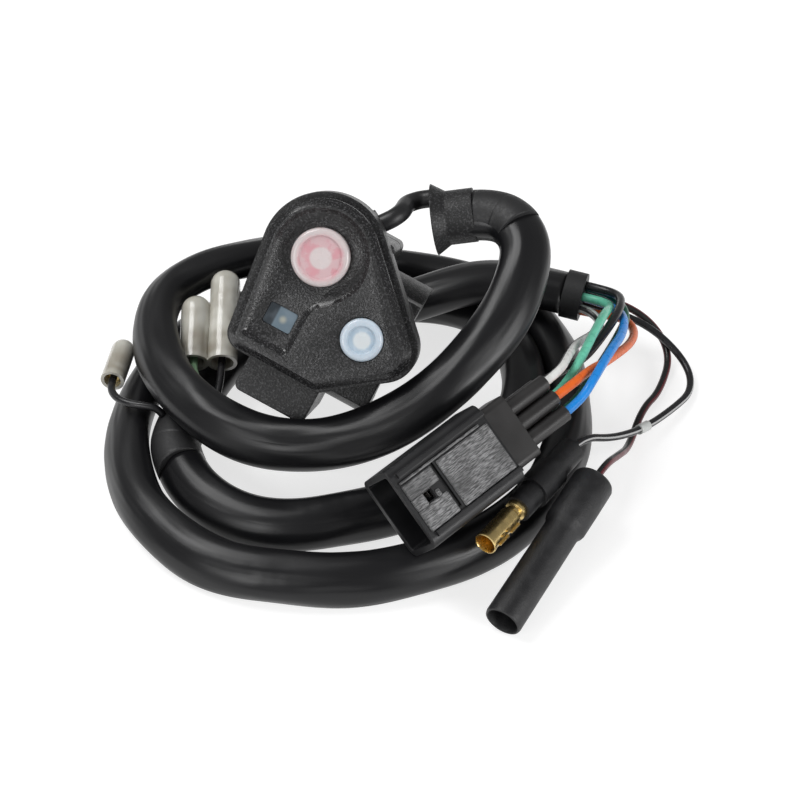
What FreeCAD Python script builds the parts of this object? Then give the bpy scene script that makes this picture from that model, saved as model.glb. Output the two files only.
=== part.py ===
# Handlebar engine stop switch with its coiled loom, plug and bullet connectors.
# Millimetres. The origin is on the axis of the handlebar bore, +Z is up and the loom lies
# on a flat surface below. The switch head is built about the bar: its own x runs along the
# bar, y up the face and z out of the face, and one placement tilts all of it as it lies.

import FreeCAD, Part
import Sketcher
import math
import os

V = FreeCAD.Vector

SIZES = {
    # attitude of the switch head as it lies in its coil, degrees about z, y and x
    "head_yaw": -20.5,
    "head_pitch": 20.3,
    "head_roll": 51.6,
    "surface_level": -24.0,
    # handlebar clamp
    "bar_radius": 11.1,
    "clamp_clearance": 0.05,
    "ring_wall": 4.85,
    "ring_left": 8.5,
    "ring_right": 19.0,
    "split_gap": 0.8,
    "lug_reach": 21.5,
    "lug_start": 12.6,
    "lower_lug_top": 22.0,
    "cap_lug_depth": 8.8,
    "cap_lug_start": 9.5,
    "lug_corner": 1.6,
    # clamp screws and their inserts
    "clamp_screw_offset": 16.8,
    "clamp_screw_radius": 2.0,
    "clamp_screw_gap": 0.2,
    "clamp_head_radius": 3.4,
    "clamp_head_height": 3.6,
    "clamp_head_recess": 4.2,
    "hex_socket_radius": 1.7,
    "hex_socket_depth": 2.2,
    "insert_radius": 2.8,
    "insert_length": 7.0,
    "insert_bite": 5.5,
    # levels of the switch head above the bar axis
    "housing_back": 16.5,
    "housing_floor": 2.0,
    "parting_level": 25.5,
    "face_level": 32.5,
    # outline of the head: four discs and the straight sides between them
    "stop_x": -4.2,
    "stop_y": 13.3,
    "top_radius": 12.4,
    "left_corner_x": -11.1,
    "left_corner_y": -9.3,
    "left_corner_radius": 2.9,
    "low_corner_x": 6.8,
    "low_corner_y": -9.9,
    "low_corner_radius": 2.5,
    "right_corner_x": 16.4,
    "right_corner_y": 1.9,
    "right_corner_radius": 6.2,
    "housing_step": 1.2,
    "housing_wall": 2.6,
    "back_round": 1.3,
    "cover_wall": 1.9,
    "face_thickness": 2.7,
    "face_bevel": 1.5,
    "seal_thickness": 0.6,
    "seal_inset": 0.3,
    "seal_width": 0.9,
    # recessed panel round the stop button and the window, as its floor is drawn
    "recess_depth": 1.2,
    "recess_slope": 1.1,
    "panel_radius": 9.3,
    "panel_corner_radius": 0.5,
    "panel_left_x": -10.5,
    "panel_right_x": -2.3,
    "panel_low_y": -7.4,
    "panel_bend_x": 3.8,
    "panel_bend_y": 0.5,
    "panel_bend_radius": 5.6,
    # window
    "window_x": -5.8,
    "window_y": -2.2,
    "window_width": 6.6,
    "window_height": 4.8,
    "window_corner": 0.5,
    "window_gap": 0.1,
    "lens_flange": 0.6,
    "lens_flange_thickness": 0.8,
    "lens_setback": 0.25,
    "led_width": 4.6,
    "led_height": 3.2,
    "led_rise": 2.6,
    # stop button
    "stop_cap_radius": 6.25,
    "stop_proud": 1.2,
    "stop_flange_radius": 7.0,
    "stop_core_radius": 4.7,
    "stop_disc_radius": 2.4,
    "stop_stem_radius": 1.8,
    "stop_stroke": 2.0,
    # mode button
    "mode_x": 11.6,
    "mode_y": 2.1,
    "mode_cap_radius": 4.6,
    "mode_proud": 1.1,
    "mode_flange_radius": 5.2,
    "mode_core_radius": 3.3,
    "mode_disc_radius": 1.8,
    "mode_stem_radius": 1.4,
    "mode_stroke": 1.5,
    # both buttons
    "button_gap": 0.2,
    "flange_thickness": 1.2,
    "flange_gap": 0.3,
    "cap_top_thickness": 1.6,
    "cap_round": 0.9,
    "dish_depth": 0.4,
    "dish_rim": 1.5,
    "ring_height": 2.2,
    "fit_gap": 0.1,
    "collar_thickness": 1.5,
    "contact_height": 2.9,
    "contact_floor": 0.35,
    "contact_wall": 1.6,
    "stroke_spare": 0.2,
    # circuit board
    "post_height": 1.0,
    "post_radius": 1.2,
    "post_spacing": 7.0,
    "board_thickness": 1.4,
    "board_gap": 0.3,
    # self-tapping screws from behind
    "boss_radius": 1.6,
    "boss_foot_radius": 2.9,
    "screw_radius": 0.9,
    "screw_gap": 0.15,
    "screw_head_radius": 1.8,
    "screw_head_height": 1.3,
    "screw_head_recess": 1.6,
    "screw_bite": 3.2,
    "slot_width": 0.6,
    "slot_depth": 0.6,
    "screw_a_x": -10.6,
    "screw_a_y": 20.2,
    "screw_b_x": -10.6,
    "screw_b_y": -7.9,
    "screw_c_x": 17.4,
    "screw_c_y": -2.0,
    # cable outlet on the back of the head
    "outlet_x": -2.6,
    "outlet_inset": 4.4,
    "outlet_z": 13.0,
    "outlet_turn": 53.0,
    "outlet_radius": 4.5,
    "outlet_length": 8.0,
    "grommet_radius": 3.4,
    "grommet_neck_radius": 2.7,
    "grommet_length": 3.8,
    "grommet_seat": 3.0,
    "grommet_ring": 0.8,
    # loom
    "lead_diameter": 4.0,
    "sleeve_diameter": 9.6,
    "wire_diameter": 2.0,
    "thin_wire_diameter": 1.7,
    "tape_wall": 0.8,
    "boot_small_radius": 6.0,
    "boot_large_radius": 7.9,
    "boot_flare_length": 6.0,
    "boot_grip": 3.0,
    "lead_seat_side": 2.0,
    "lead_seat_up": 4.4,
    "end_tape_length": 4.5,
    # six-way plug
    "plug_width": 18.9,
    "plug_height": 12.5,
    "plug_corner": 2.0,
    "plug_length": 26.0,
    "plug_wall": 1.3,
    "plug_mouth_depth": 16.0,
    "rail_inset": 1.7,
    "rail_width": 1.2,
    "rail_height": 0.8,
    "rail_setback": 1.5,
    "latch_slot_from_mouth": 9.2,
    "latch_slot_width": 0.8,
    "latch_slot_depth": 0.7,
    "latch_slot_reach": 5.6,
    "latch_hole_side": 2.2,
    "latch_hole_from_mouth": 4.2,
    "block_width": 15.0,
    "block_height": 10.0,
    "block_corner": 1.4,
    "block_length": 7.0,
    "tower_radius": 1.85,
    "tower_length": 11.5,
    "tower_pitch": 3.9,
    "tower_row_half": 2.2,
    "pin_width": 1.6,
    "pin_thickness": 0.7,
    "pin_length": 9.0,
    # bullet connector with a bare brass socket
    "socket_radius": 2.4,
    "socket_bore_radius": 1.9,
    "socket_shown": 12.5,
    "socket_hidden": 5.0,
    "socket_bore_depth": 10.0,
    "socket_slit": 0.7,
    "socket_slit_length": 8.0,
    "boot_front_radius": 3.1,
    "boot_front_length": 6.0,
    "boot_middle_radius": 3.8,
    "boot_middle_length": 8.0,
    "boot_rear_radius": 3.1,
    "boot_rear_length": 8.0,
    # long bullet sleeve
    "long_front_radius": 4.0,
    "long_front_length": 21.5,
    "long_rear_radius": 4.7,
    "long_rear_length": 19.5,
    "long_bore_radius": 2.75,
    "long_bore_depth": 31.0,
    "long_socket_setback": 8.0,
    "long_socket_length": 16.0,
    # clear insulating sleeves
    "clear_radius": 3.4,
    "clear_bore_radius": 2.6,
    "clear_half_pitch": 3.2,
    "clear_web": 2.4,
    "clear_long": 21.3,
    "clear_short": 14.2,
    "single_radius": 2.7,
    "single_bore_radius": 1.95,
    "single_length": 10.3,
    "clear_socket_setback": 4.0,
    "clear_socket_length": 8.0,
    "clear_socket_wall": 0.6,
    "single_socket_setback": 2.0,
    "single_socket_length": 7.0,
}

# Routes: x, y and the height above the surface that the loom lies on.
SLEEVE_ROUTE = [
    (30.5, 7.4, 45), (37.2, 7.2, 46.2), (43.2, 2.6, 45.8), (44.8, -5, 42.6), (38.7, -19, 35.3),
    (24, -32.8, 26.2), (5.7, -36.7, 17.3), (-11.8, -35, 15.7), (-25.4, -27.7, 16.7),
    (-37.7, -9.3, 16.8), (-39.3, 13, 16.5), (-27.9, 22.5, 18.7), (-9.3, 30.6, 16.8),
    (7.7, 36.1, 9.1), (24.1, 37, 4.9), (41.5, 31.3, 5), (53.5, 12.1, 4.8), (55.7, -8.5, 4.9),
    (54, -26.3, 5), (45.8, -44, 4.8), (31.9, -56.7, 4.8), (13.8, -64.1, 4.9),
    (-3.4, -65.1, 4.8), (-22.7, -61.5, 4.9), (-36.7, -47.7, 5), (-43.5, -31.7, 4.8),
    (-43.7, -12, 4.8), (-36.4, 9.6, 4.8), (-24.5, 21.7, 5), (-7.6, 27.1, 4.9),
    (10.8, 26.2, 4.8), (30.7, 24.6, 4.9), (42.7, 12.4, 7), (46.2, -8.2, 8.2), (40.5, -27, 4.8),
    (26.3, -39.3, 5.1), (11.5, -44.7, 5), (-9.1, -50.9, 4.9), (-27, -41.5, 5.2),
    (-30.9, -31.5, 5.6),
]
TAIL_ROUTE = [
    (-30.9, -15, 5.6), (-27.3, -2, 4.8), (-21, 8.5, 4.8), (-11, 15.2, 4.8),
    (0.5, 16.6, 6.3), (12, 16.6, 9.8), (23.5, 17.8, 13.8), (35, 20.4, 16),
    (46, 20.4, 15.4), (55, 17.8, 14.6),
]
LEAD_ROUTE = [(17.3, 2.9, 49.6), (18.4, 7.9, 48)]
WIRE_ROUTES = {
    # name: column and row of its place in the plug, its place in the tape's end
    # (towards the front and up), and the free points from the tape to the plug
    "wire_green": ((0, -1), (2.4, 2.2), [
        (63.2, 12.1, 16.7), (65.2, 8.5, 18.2), (62.8, -0.1, 23.7), (59.1, -11.5, 26.5),
        (55.8, -20.4, 26.6)]),
    "wire_black": ((1, -1), (-0.6, 3.2), [
        (65.7, 14.2, 17.7), (67.5, 10.3, 19.2), (66.2, 2.9, 21.3), (61.7, -6.4, 21.6),
        (56.8, -15.6, 22.7)]),
    "wire_white": ((1, 1), (3.5, -0.4), [
        (63.2, 8.2, 13.6), (60.4, -1.8, 18.6), (55.4, -12, 24.5), (53, -21, 28.5)]),
    "wire_orange": ((0, 1), (1.9, -2.5), [
        (69.4, 11.9, 11.9), (70.8, 2.1, 14.1), (62.4, -14.9, 21.9), (58.4, -21.5, 25.7)]),
    "wire_blue": ((-1, 1), (-0.4, -0.4), [
        (64.7, 14, 14.1), (67.8, 5.7, 18.2), (66.8, -4.5, 21.4), (62.8, -15.7, 25.6),
        (58.8, -26.2, 27.4)]),
    "wire_dark_green": ((-1, -1), (-2.2, 1.3), [
        (66.3, 15.5, 15.6), (69.1, 9.1, 15), (66.4, 0.5, 16.8), (62.2, -10.4, 18.7),
        (57.2, -21.6, 20.4)]),
}
BULLET_WIRE_ROUTES = {
    # name: its place in the tape's end and the free points on to its bullet
    "wire_to_short_bullet": ((-1.9, -3.1), [
        (75.1, 13.7, 8.1), (83.4, 7.3, 2.4), (84, -1.7, 1.6), (78.6, -9.5, 2.9),
        (71.3, -18.2, 4.9), (63.7, -25.4, 8.7)]),
    "wire_to_long_bullet": ((-3.6, -1.2), [
        (74.6, 16.4, 8.6), (80.1, 10.8, 2.3), (76.6, -1.4, 1.2), (71.8, -8.8, 2.3),
        (68.1, -20.2, 1.1), (65, -29, 7.1)]),
}
BRANCH_ROUTES = {
    # name: the way out of the joint's tape, how far before its end, and the free points
    "wire_to_clear_long": ((0.8, 0, 0.6), 4.0, [
        (-24.9, -19.5, 11.4), (-24, -17.4, 12.2), (-23.3, -12.6, 13)]),
    "wire_to_clear_short": ((0.45, 0, 0.9), 1.6, [
        (-27.5, -15.6, 13.5), (-27.7, -13.6, 14.4), (-29, -9.8, 14)]),
    "wire_to_clear_single": ((-0.6, 0, 0.8), 6.0, [
        (-38.4, -19.1, 12.5), (-42.6, -18.4, 12.5), (-46, -16, 12), (-47.7, -12.6, 11.6)]),
}
JOINT_END_RUN = 5.6

# Where each loose piece lies: its open end, and the way that it points from there.
PLUG_MOUTH, PLUG_WAY, PLUG_TOP = (16.8, -61.6, 20.8), (0.7233, 0.6831, 0.1005), (0.383, -0.519, 0.765)
SHORT_BULLET_MOUTH, SHORT_BULLET_WAY = (34.6, -62.6, 13.3), (0.56, 0.828, 0)
LONG_BULLET_MOUTH, LONG_BULLET_WAY = (38, -76.1, 4.1), (0.503, 0.846, 0.171)
CLEAR_PAIR_MOUTH, CLEAR_PAIR_WAY = (-26.3, -5.5, 13.4), (0, 20.5, 5.9)
CLEAR_SINGLE_MOUTH, CLEAR_SINGLE_WAY = (-47.6, -9.3, 11.4), (0.152, 0.988, 0)
UP = V(0, 0, 1)

# Length of a cross slot as a share of its screw head's radius.
SLOT_SHARE = 1.2
# Share of the shorter run beside a corner of a cord that its arc takes.
ARC_SHARE = 0.45
# Straight stretch of a wire where it leaves the tape, and where it enters a connector.
EXIT_RUN = 2.2
ENTRY_RUN = 5.0
LEAD_END_RUN = 2.9
BRANCH_EXIT_RUN = 1.7


class Size:
    """A value and the sheet expression that it comes from."""

    def __init__(self, value, text):
        self.value = float(value)
        self.text = text

    def __add__(self, other):
        other = as_size(other)
        return Size(self.value + other.value, "(%s + %s)" % (self.text, other.text))

    def __sub__(self, other):
        other = as_size(other)
        return Size(self.value - other.value, "(%s - %s)" % (self.text, other.text))

    def __mul__(self, other):
        other = as_size(other)
        return Size(self.value * other.value, "(%s * %s)" % (self.text, other.text))

    def __truediv__(self, other):
        other = as_size(other)
        return Size(self.value / other.value, "(%s / %s)" % (self.text, other.text))

    def __neg__(self):
        return Size(-self.value, "(0 - %s)" % self.text)


def as_size(value):
    if isinstance(value, Size):
        return value
    return Size(value, repr(float(value)))


class Sheet:
    """The driving dimensions: a spreadsheet cell and a Size for each name."""

    def __init__(self, document, sizes):
        cells = document.addObject("Spreadsheet::Sheet", "Sizes")
        for row, (name, value) in enumerate(sizes.items(), start=1):
            cells.set("A%d" % row, name)
            cells.set("B%d" % row, str(value))
            cells.setAlias("B%d" % row, name)
            setattr(self, name, Size(value, "Sizes." + name))

    def of(self, kind, name):
        return getattr(self, kind + "_" + name)


doc = FreeCAD.newDocument("switch_and_loom")
s = Sheet(doc, SIZES)
doc.recompute()

NONE = as_size(0)
parts = []


def bind(obj, prop, size):
    obj.setExpression(prop, as_size(size).text)


def add_constraint(sketch, kind, *geometry, size=None):
    arguments = list(geometry)
    if size is not None:
        arguments.append(size.value)
    index = sketch.addConstraint(Sketcher.Constraint(kind, *arguments))
    if size is not None:
        bind(sketch, "Constraints[%d]" % index, size)


def hold_point(sketch, geometry, point, x, y):
    """Hold a point of a sketch at x and y from the sketch's origin."""
    for kind, size, axis in (("DistanceX", as_size(x), -2), ("DistanceY", as_size(y), -1)):
        if size.text == NONE.text:
            add_constraint(sketch, "PointOnObject", geometry, point, axis)
        else:
            add_constraint(sketch, kind, -1, 1, geometry, point, size=size)


def draw_circle(sketch, x, y, radius):
    x, y, radius = as_size(x), as_size(y), as_size(radius)
    circle = Part.Circle(V(x.value, y.value, 0), V(0, 0, 1), radius.value)
    index = sketch.addGeometry(circle, False)
    hold_point(sketch, index, 3, x, y)
    add_constraint(sketch, "Radius", index, size=radius)


def draw_outline(sketch, corners):
    """Draw a closed outline, anticlockwise, from corners (x, y) or (x, y, radius).

    A corner with a radius is the disc that the outline rounds. The radius is below zero
    where the outline bends inwards round its disc.
    """
    discs = []
    for corner in corners:
        radius = as_size(corner[2]) if len(corner) == 3 else NONE
        discs.append((as_size(corner[0]), as_size(corner[1]), radius))
    count = len(discs)
    centres = [V(x.value, y.value, 0) for x, y, radius in discs]
    leaving, arriving, normals = {}, {}, {}
    for i in range(count):
        j = (i + 1) % count
        run = centres[j] - centres[i]
        along = V(run).normalize()
        right = V(along.y, -along.x, 0)
        lean = (discs[i][2].value - discs[j][2].value) / run.Length
        normal = along * lean + right * math.sqrt(1 - lean * lean)
        normals[i] = normal
        leaving[i] = centres[i] + normal * discs[i][2].value
        arriving[j] = centres[j] + normal * discs[j][2].value
    sides = {}
    for i in range(count):
        side = Part.LineSegment(leaving[i], arriving[(i + 1) % count])
        sides[i] = sketch.addGeometry(side, False)
    for i in range(count):
        x, y, radius = discs[i]
        before = sides[(i - 1) % count]
        after = sides[i]
        if radius.value == 0:
            add_constraint(sketch, "Coincident", before, 2, after, 1)
            hold_point(sketch, after, 1, x, y)
            continue
        inwards = radius.value < 0
        first = normals[(i - 1) % count] * (-1 if inwards else 1)
        last = normals[i] * (-1 if inwards else 1)
        if inwards:
            first, last = last, first
        start = math.atan2(first.y, first.x)
        end = math.atan2(last.y, last.x)
        while end <= start:
            end += 2 * math.pi
        circle = Part.Circle(centres[i], V(0, 0, 1), abs(radius.value))
        arc = sketch.addGeometry(Part.ArcOfCircle(circle, start, end), False)
        add_constraint(sketch, "Tangent", before, 2, arc, 2 if inwards else 1)
        add_constraint(sketch, "Tangent", arc, 1 if inwards else 2, after, 1)
        hold_point(sketch, arc, 3, x, y)
        add_constraint(sketch, "Radius", arc, size=-radius if inwards else radius)


def box_corners(left, right, low, high, radius=None):
    """Corners of an upright rectangle, rounded where a radius is given."""
    if radius is None:
        return [(left, low), (right, low), (right, high), (left, high)]
    left, right, low, high = as_size(left), as_size(right), as_size(low), as_size(high)
    return [(left + radius, low + radius, radius), (right - radius, low + radius, radius),
            (right - radius, high - radius, radius), (left + radius, high - radius, radius)]


def middle_box(width, height, radius=None):
    return box_corners(-width / 2, width / 2, -height / 2, height / 2, radius)


class Piece:
    """A body of its own, with short calls for the features that it is made of."""

    def __init__(self, label, placement=None):
        self.body = doc.addObject("PartDesign::Body", label)
        self.body.Label = label
        if placement is not None:
            self.body.Placement = placement
        self.label = label
        parts.append(self.body)

    def plane(self, role):
        for feature in self.body.Origin.OriginFeatures:
            if feature.Role == role:
                return feature
        raise ValueError(role)

    def sketch(self, level=NONE, role="XY_Plane", shift=None, offset=None):
        sketch = self.body.newObject("Sketcher::SketchObject", self.label + "_sketch")
        sketch.AttachmentSupport = [(self.plane(role), "")]
        sketch.MapMode = "FlatFace"
        if offset is not None:
            sketch.AttachmentOffset = offset
            return sketch
        if shift is not None:
            bind(sketch, ".AttachmentOffset.Base.x", shift)
        if level is not NONE:
            bind(sketch, ".AttachmentOffset.Base.z", level)
        return sketch

    def outline(self, corners, level=NONE, role="XY_Plane"):
        sketch = self.sketch(level, role)
        draw_outline(sketch, corners)
        return sketch

    def circles(self, circles, level=NONE, role="XY_Plane"):
        sketch = self.sketch(level, role)
        for x, y, radius in circles:
            draw_circle(sketch, x, y, radius)
        return sketch

    def add(self, kind, name):
        feature = self.body.newObject("PartDesign::" + kind, self.label + "_" + name)
        return feature

    def volume(self):
        return self.body.Shape.Volume

    def settle(self, feature, sketches, grows):
        """Rebuild, and stop where a feature did nothing."""
        before = self.volume() if self.body.Shape and not self.body.Shape.isNull() else 0
        for sketch in sketches:
            sketch.Visibility = False
        doc.recompute()
        change = self.volume() - before
        if (change <= 0 if grows else change >= 0):
            raise ValueError("%s: %s changes nothing" % (self.label, feature.Name))
        return feature

    def pad(self, sketch, length):
        feature = self.add("Pad", "pad")
        feature.Profile = sketch
        bind(feature, "Length", length)
        return self.settle(feature, [sketch], True)

    def pocket(self, sketch, depth=None, forwards=False):
        """Cut back from the sketch, or forwards, by a depth or right through."""
        feature = self.add("Pocket", "pocket")
        feature.Profile = sketch
        feature.Reversed = forwards
        if depth is None:
            feature.Type = "ThroughAll"
        else:
            bind(feature, "Length", depth)
        return self.settle(feature, [sketch], False)

    def loft(self, first, last, cut=False):
        feature = self.add("SubtractiveLoft" if cut else "AdditiveLoft", "loft")
        feature.Profile = first
        feature.Sections = [last]
        feature.Ruled = True
        return self.settle(feature, [first, last], not cut)

    def turn(self, corners, shift=None, cut=False):
        """Turn an outline of (radius, height) corners about the body's z axis."""
        sketch = self.sketch(role="XZ_Plane", shift=shift)
        draw_outline(sketch, corners)
        feature = self.add("Groove" if cut else "Revolution", "turn")
        feature.Profile = sketch
        feature.ReferenceAxis = (sketch, ["V_Axis"])
        feature.Angle = 360.0
        return self.settle(feature, [sketch], not cut)

    def dress(self, kind, faces, prop, size):
        """Round or bevel the edges of the faces that are given."""
        base = self.body.Tip
        feature = self.add(kind, kind.lower())
        feature.Base = (base, faces)
        bind(feature, prop, size)
        return self.settle(feature, [], False)

    def faces(self, normal, level):
        """Names of the flat faces that look along a normal of the body at a level."""
        found = []
        shape = self.body.Tip.Shape
        for number, face in enumerate(shape.Faces, start=1):
            if face.Surface.TypeId != "Part::GeomPlane":
                continue
            along = face.normalAt(0, 0)
            if along.dot(normal) > 0.999 and abs(face.CenterOfMass.dot(normal) - level) < 1e-4:
                found.append("Face%d" % number)
        return found


def facing(origin, forward, up):
    """A placement whose z looks forward and whose y is as near as can be to up."""
    z = V(forward).normalize()
    x = V(up).cross(z).normalize()
    y = z.cross(x)
    return FreeCAD.Placement(origin, FreeCAD.Rotation(x, y, z, "ZXY"))


def shifted(frame, x, y, z):
    return frame.multiply(FreeCAD.Placement(V(x, y, z), FreeCAD.Rotation()))


HEAD = FreeCAD.Placement(V(), FreeCAD.Rotation(
    s.head_yaw.value, s.head_pitch.value, s.head_roll.value))


def head_outline(grow):
    """The four discs of the head's outline, each larger by grow."""
    return [
        (s.left_corner_x, s.left_corner_y, s.left_corner_radius + grow),
        (s.low_corner_x, s.low_corner_y, s.low_corner_radius + grow),
        (s.right_corner_x, s.right_corner_y, s.right_corner_radius + grow),
        (s.stop_x, s.stop_y, s.top_radius + grow),
    ]


def panel_outline(grow):
    """The recessed panel: round the stop button, down to the window, one inward bend."""
    return [
        (s.panel_left_x, s.panel_low_y, s.panel_corner_radius + grow),
        (s.panel_right_x, s.panel_low_y, s.panel_corner_radius + grow),
        (s.panel_bend_x, s.panel_bend_y, grow - s.panel_bend_radius),
        (s.stop_x, s.stop_y, s.panel_radius + grow),
    ]


SCREWS = [(s.screw_a_x, s.screw_a_y), (s.screw_b_x, s.screw_b_y), (s.screw_c_x, s.screw_c_y)]

bore_radius = s.bar_radius + s.clamp_clearance
ring_radius = bore_radius + s.ring_wall
half_gap = s.split_gap / 2
cover_foot = s.parting_level + s.seal_thickness
cover_ceiling = s.face_level - s.face_thickness
floor_top = s.housing_back + s.housing_floor
board_level = floor_top + s.post_height
board_top = board_level + s.board_thickness
housing_inside = s.housing_step - s.housing_wall


def screw_circles(radius):
    return [(x, y, radius) for x, y in SCREWS]


def front_cover():
    cover = Piece("front_cover", HEAD)
    cover.pad(cover.outline(head_outline(NONE), cover_foot), s.face_level - cover_foot)
    cover.dress("Chamfer", cover.faces(V(0, 0, 1), s.face_level.value), "Size", s.face_bevel)
    cover.loft(cover.outline(panel_outline(NONE), s.face_level - s.recess_depth),
               cover.outline(panel_outline(s.recess_slope), s.face_level), cut=True)
    cover.pocket(cover.outline(head_outline(-s.cover_wall), cover_ceiling))
    for x, y in SCREWS:
        cover.pad(cover.circles([(x, y, s.boss_radius)], cover_foot),
                  cover_ceiling - cover_foot + s.fit_gap)
    cover.pocket(cover.circles(screw_circles(s.screw_radius), cover_foot + s.screw_bite))
    buttons = [(s.of(kind, "x"), s.of(kind, "y"), s.of(kind, "cap_radius") + s.button_gap)
               for kind in ("stop", "mode")]
    cover.pocket(cover.circles(buttons, s.face_level))
    cover.pocket(cover.outline(window_corners(NONE), s.face_level))


def window_corners(grow):
    return box_corners(
        s.window_x - s.window_width / 2 - grow, s.window_x + s.window_width / 2 + grow,
        s.window_y - s.window_height / 2 - grow, s.window_y + s.window_height / 2 + grow,
        s.window_corner)


def indicator():
    lens = Piece("indicator_lens", HEAD)
    flange_level = cover_ceiling - s.lens_flange_thickness
    lens.pad(lens.outline(window_corners(s.lens_flange), flange_level), s.lens_flange_thickness)
    top = s.face_level - s.recess_depth - s.lens_setback
    lens.pad(lens.outline(window_corners(-s.window_gap), cover_ceiling), top - cover_ceiling)
    led = Piece("indicator_led", HEAD)
    corners = box_corners(
        s.window_x - s.led_width / 2, s.window_x + s.led_width / 2,
        s.window_y - s.led_height / 2, s.window_y + s.led_height / 2)
    led.pad(led.outline(corners, board_top), s.led_rise)


def cover_seal():
    seal = Piece("cover_seal", HEAD)
    seal.pad(seal.outline(head_outline(-s.seal_inset), s.parting_level), s.seal_thickness)
    inside = head_outline(-s.seal_inset - s.seal_width)
    seal.pocket(seal.outline(inside, cover_foot))


def lug_corners(start, reach):
    """A clamp lug in plan: square where it starts, rounded at its free end."""
    half = s.ring_left
    if reach.value > 0:
        return [(-half, start), (half, start),
                (half - s.lug_corner, reach - s.lug_corner, s.lug_corner),
                (-half + s.lug_corner, reach - s.lug_corner, s.lug_corner)]
    return [(-half + s.lug_corner, reach + s.lug_corner, s.lug_corner),
            (half - s.lug_corner, reach + s.lug_corner, s.lug_corner),
            (half, start), (-half, start)]


def outlet_frame():
    """The cable outlet in the head's frame: its z looks out along the cable."""
    turn = math.radians(s.outlet_turn.value)
    y = s.lug_reach - s.outlet_inset
    origin = V(s.outlet_x.value, y.value, s.outlet_z.value)
    return facing(origin, V(math.cos(turn), math.sin(turn), 0), V(0, 0, 1))


def half_ring(piece, left, length, low, radius):
    """The upper half of a disc about the bar, from a flat at the level low."""
    sketch = piece.sketch(left, "YZ_Plane")
    angle = math.asin(low.value / radius.value)
    circle = Part.Circle(V(), V(0, 0, 1), radius.value)
    arc = sketch.addGeometry(Part.ArcOfCircle(circle, angle, math.pi - angle), False)
    across = math.cos(angle) * radius.value
    flat = sketch.addGeometry(
        Part.LineSegment(V(-across, low.value, 0), V(across, low.value, 0)), False)
    add_constraint(sketch, "Coincident", arc, 2, flat, 1)
    add_constraint(sketch, "Coincident", arc, 1, flat, 2)
    add_constraint(sketch, "Horizontal", flat)
    add_constraint(sketch, "Coincident", arc, 3, -1, 1)
    add_constraint(sketch, "Radius", arc, size=radius)
    add_constraint(sketch, "DistanceY", -1, 1, flat, 1, size=low)
    piece.pad(sketch, length)


def rear_housing():
    housing = Piece("rear_housing", HEAD)
    housing.pad(housing.outline(head_outline(s.housing_step), s.housing_back),
                s.parting_level - s.housing_back)
    housing.dress("Fillet", housing.faces(V(0, 0, -1), -s.housing_back.value),
                  "Radius", s.back_round)
    root = s.housing_back + s.housing_floor / 2
    half_ring(housing, -s.ring_left, s.ring_left + s.ring_right, half_gap, ring_radius)
    neck = box_corners(-s.lug_start, s.lug_start, half_gap, root)
    housing.pad(housing.outline(neck, -s.ring_left, "YZ_Plane"), s.ring_left + s.ring_right)
    housing.pad(housing.outline(lug_corners(-s.lug_start, -s.lug_reach), half_gap),
                s.lower_lug_top - half_gap)
    housing.pad(housing.outline(lug_corners(s.lug_start, s.lug_reach), half_gap), root - half_gap)
    outlet = housing.sketch(offset=outlet_frame())
    draw_circle(outlet, 0, 0, s.outlet_radius)
    housing.pad(outlet, s.outlet_length)
    housing.pocket(housing.outline(head_outline(housing_inside), s.parting_level),
                   s.parting_level - floor_top)
    for x, y in SCREWS:
        housing.pad(housing.circles([(x, y, s.boss_foot_radius)], root), s.parting_level - root)
    posts = [(s.post_spacing * i, NONE, s.post_radius) for i in (-1, 0, 1)]
    for x, y, radius in posts:
        housing.pad(housing.circles([(x, y, radius)], root), board_level - root)
    housing.pocket(housing.circles(screw_circles(s.screw_radius + s.screw_gap),
                                   s.parting_level))
    housing.pocket(housing.circles(screw_circles(s.screw_head_radius + s.screw_gap),
                                   s.housing_back + s.screw_head_recess))
    bore = housing.circles([(NONE, NONE, bore_radius)], s.ring_right, "YZ_Plane")
    housing.pocket(bore)
    inserts = [(NONE, s.clamp_screw_offset * side, s.insert_radius) for side in (-1, 1)]
    housing.pocket(housing.circles(inserts, half_gap + s.insert_length), s.insert_length)
    seat = housing.sketch(offset=outlet_frame().multiply(
        FreeCAD.Placement(V(0, 0, s.outlet_length.value), FreeCAD.Rotation())))
    draw_circle(seat, 0, 0, s.grommet_radius)
    housing.pocket(seat, s.grommet_seat)


def clamp_cap():
    cap = Piece("clamp_cap", HEAD.multiply(
        FreeCAD.Placement(V(), FreeCAD.Rotation(V(1, 0, 0), 180))))
    half_ring(cap, -s.ring_left, s.ring_left * 2, half_gap, ring_radius)
    for start, reach in ((s.cap_lug_start, s.lug_reach), (-s.cap_lug_start, -s.lug_reach)):
        cap.pad(cap.outline(lug_corners(start, reach), half_gap), s.cap_lug_depth - half_gap)
    cap.pocket(cap.circles([(NONE, NONE, bore_radius)], s.ring_left, "YZ_Plane"))
    sides = [s.clamp_screw_offset * side for side in (-1, 1)]
    shafts = [(NONE, y, s.clamp_screw_radius + s.clamp_screw_gap) for y in sides]
    cap.pocket(cap.circles(shafts, s.cap_lug_depth))
    heads = [(NONE, y, s.clamp_head_radius + s.clamp_screw_gap) for y in sides]
    cap.pocket(cap.circles(heads, s.cap_lug_depth), s.clamp_head_recess)


def cylinder(name, radius, length, x=NONE, y=NONE, z=NONE):
    solid = doc.addObject("Part::Cylinder", name)
    bind(solid, "Radius", radius)
    bind(solid, "Height", length)
    for axis, size in zip("xyz", (x, y, z)):
        bind(solid, "Placement.Base." + axis, size)
    return solid


def joined(name, solids):
    whole = doc.addObject("Part::MultiFuse", name)
    whole.Shapes = solids
    return whole


def cut(name, base, tool):
    result = doc.addObject("Part::Cut", name)
    result.Base = base
    result.Tool = tool
    return result


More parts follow.
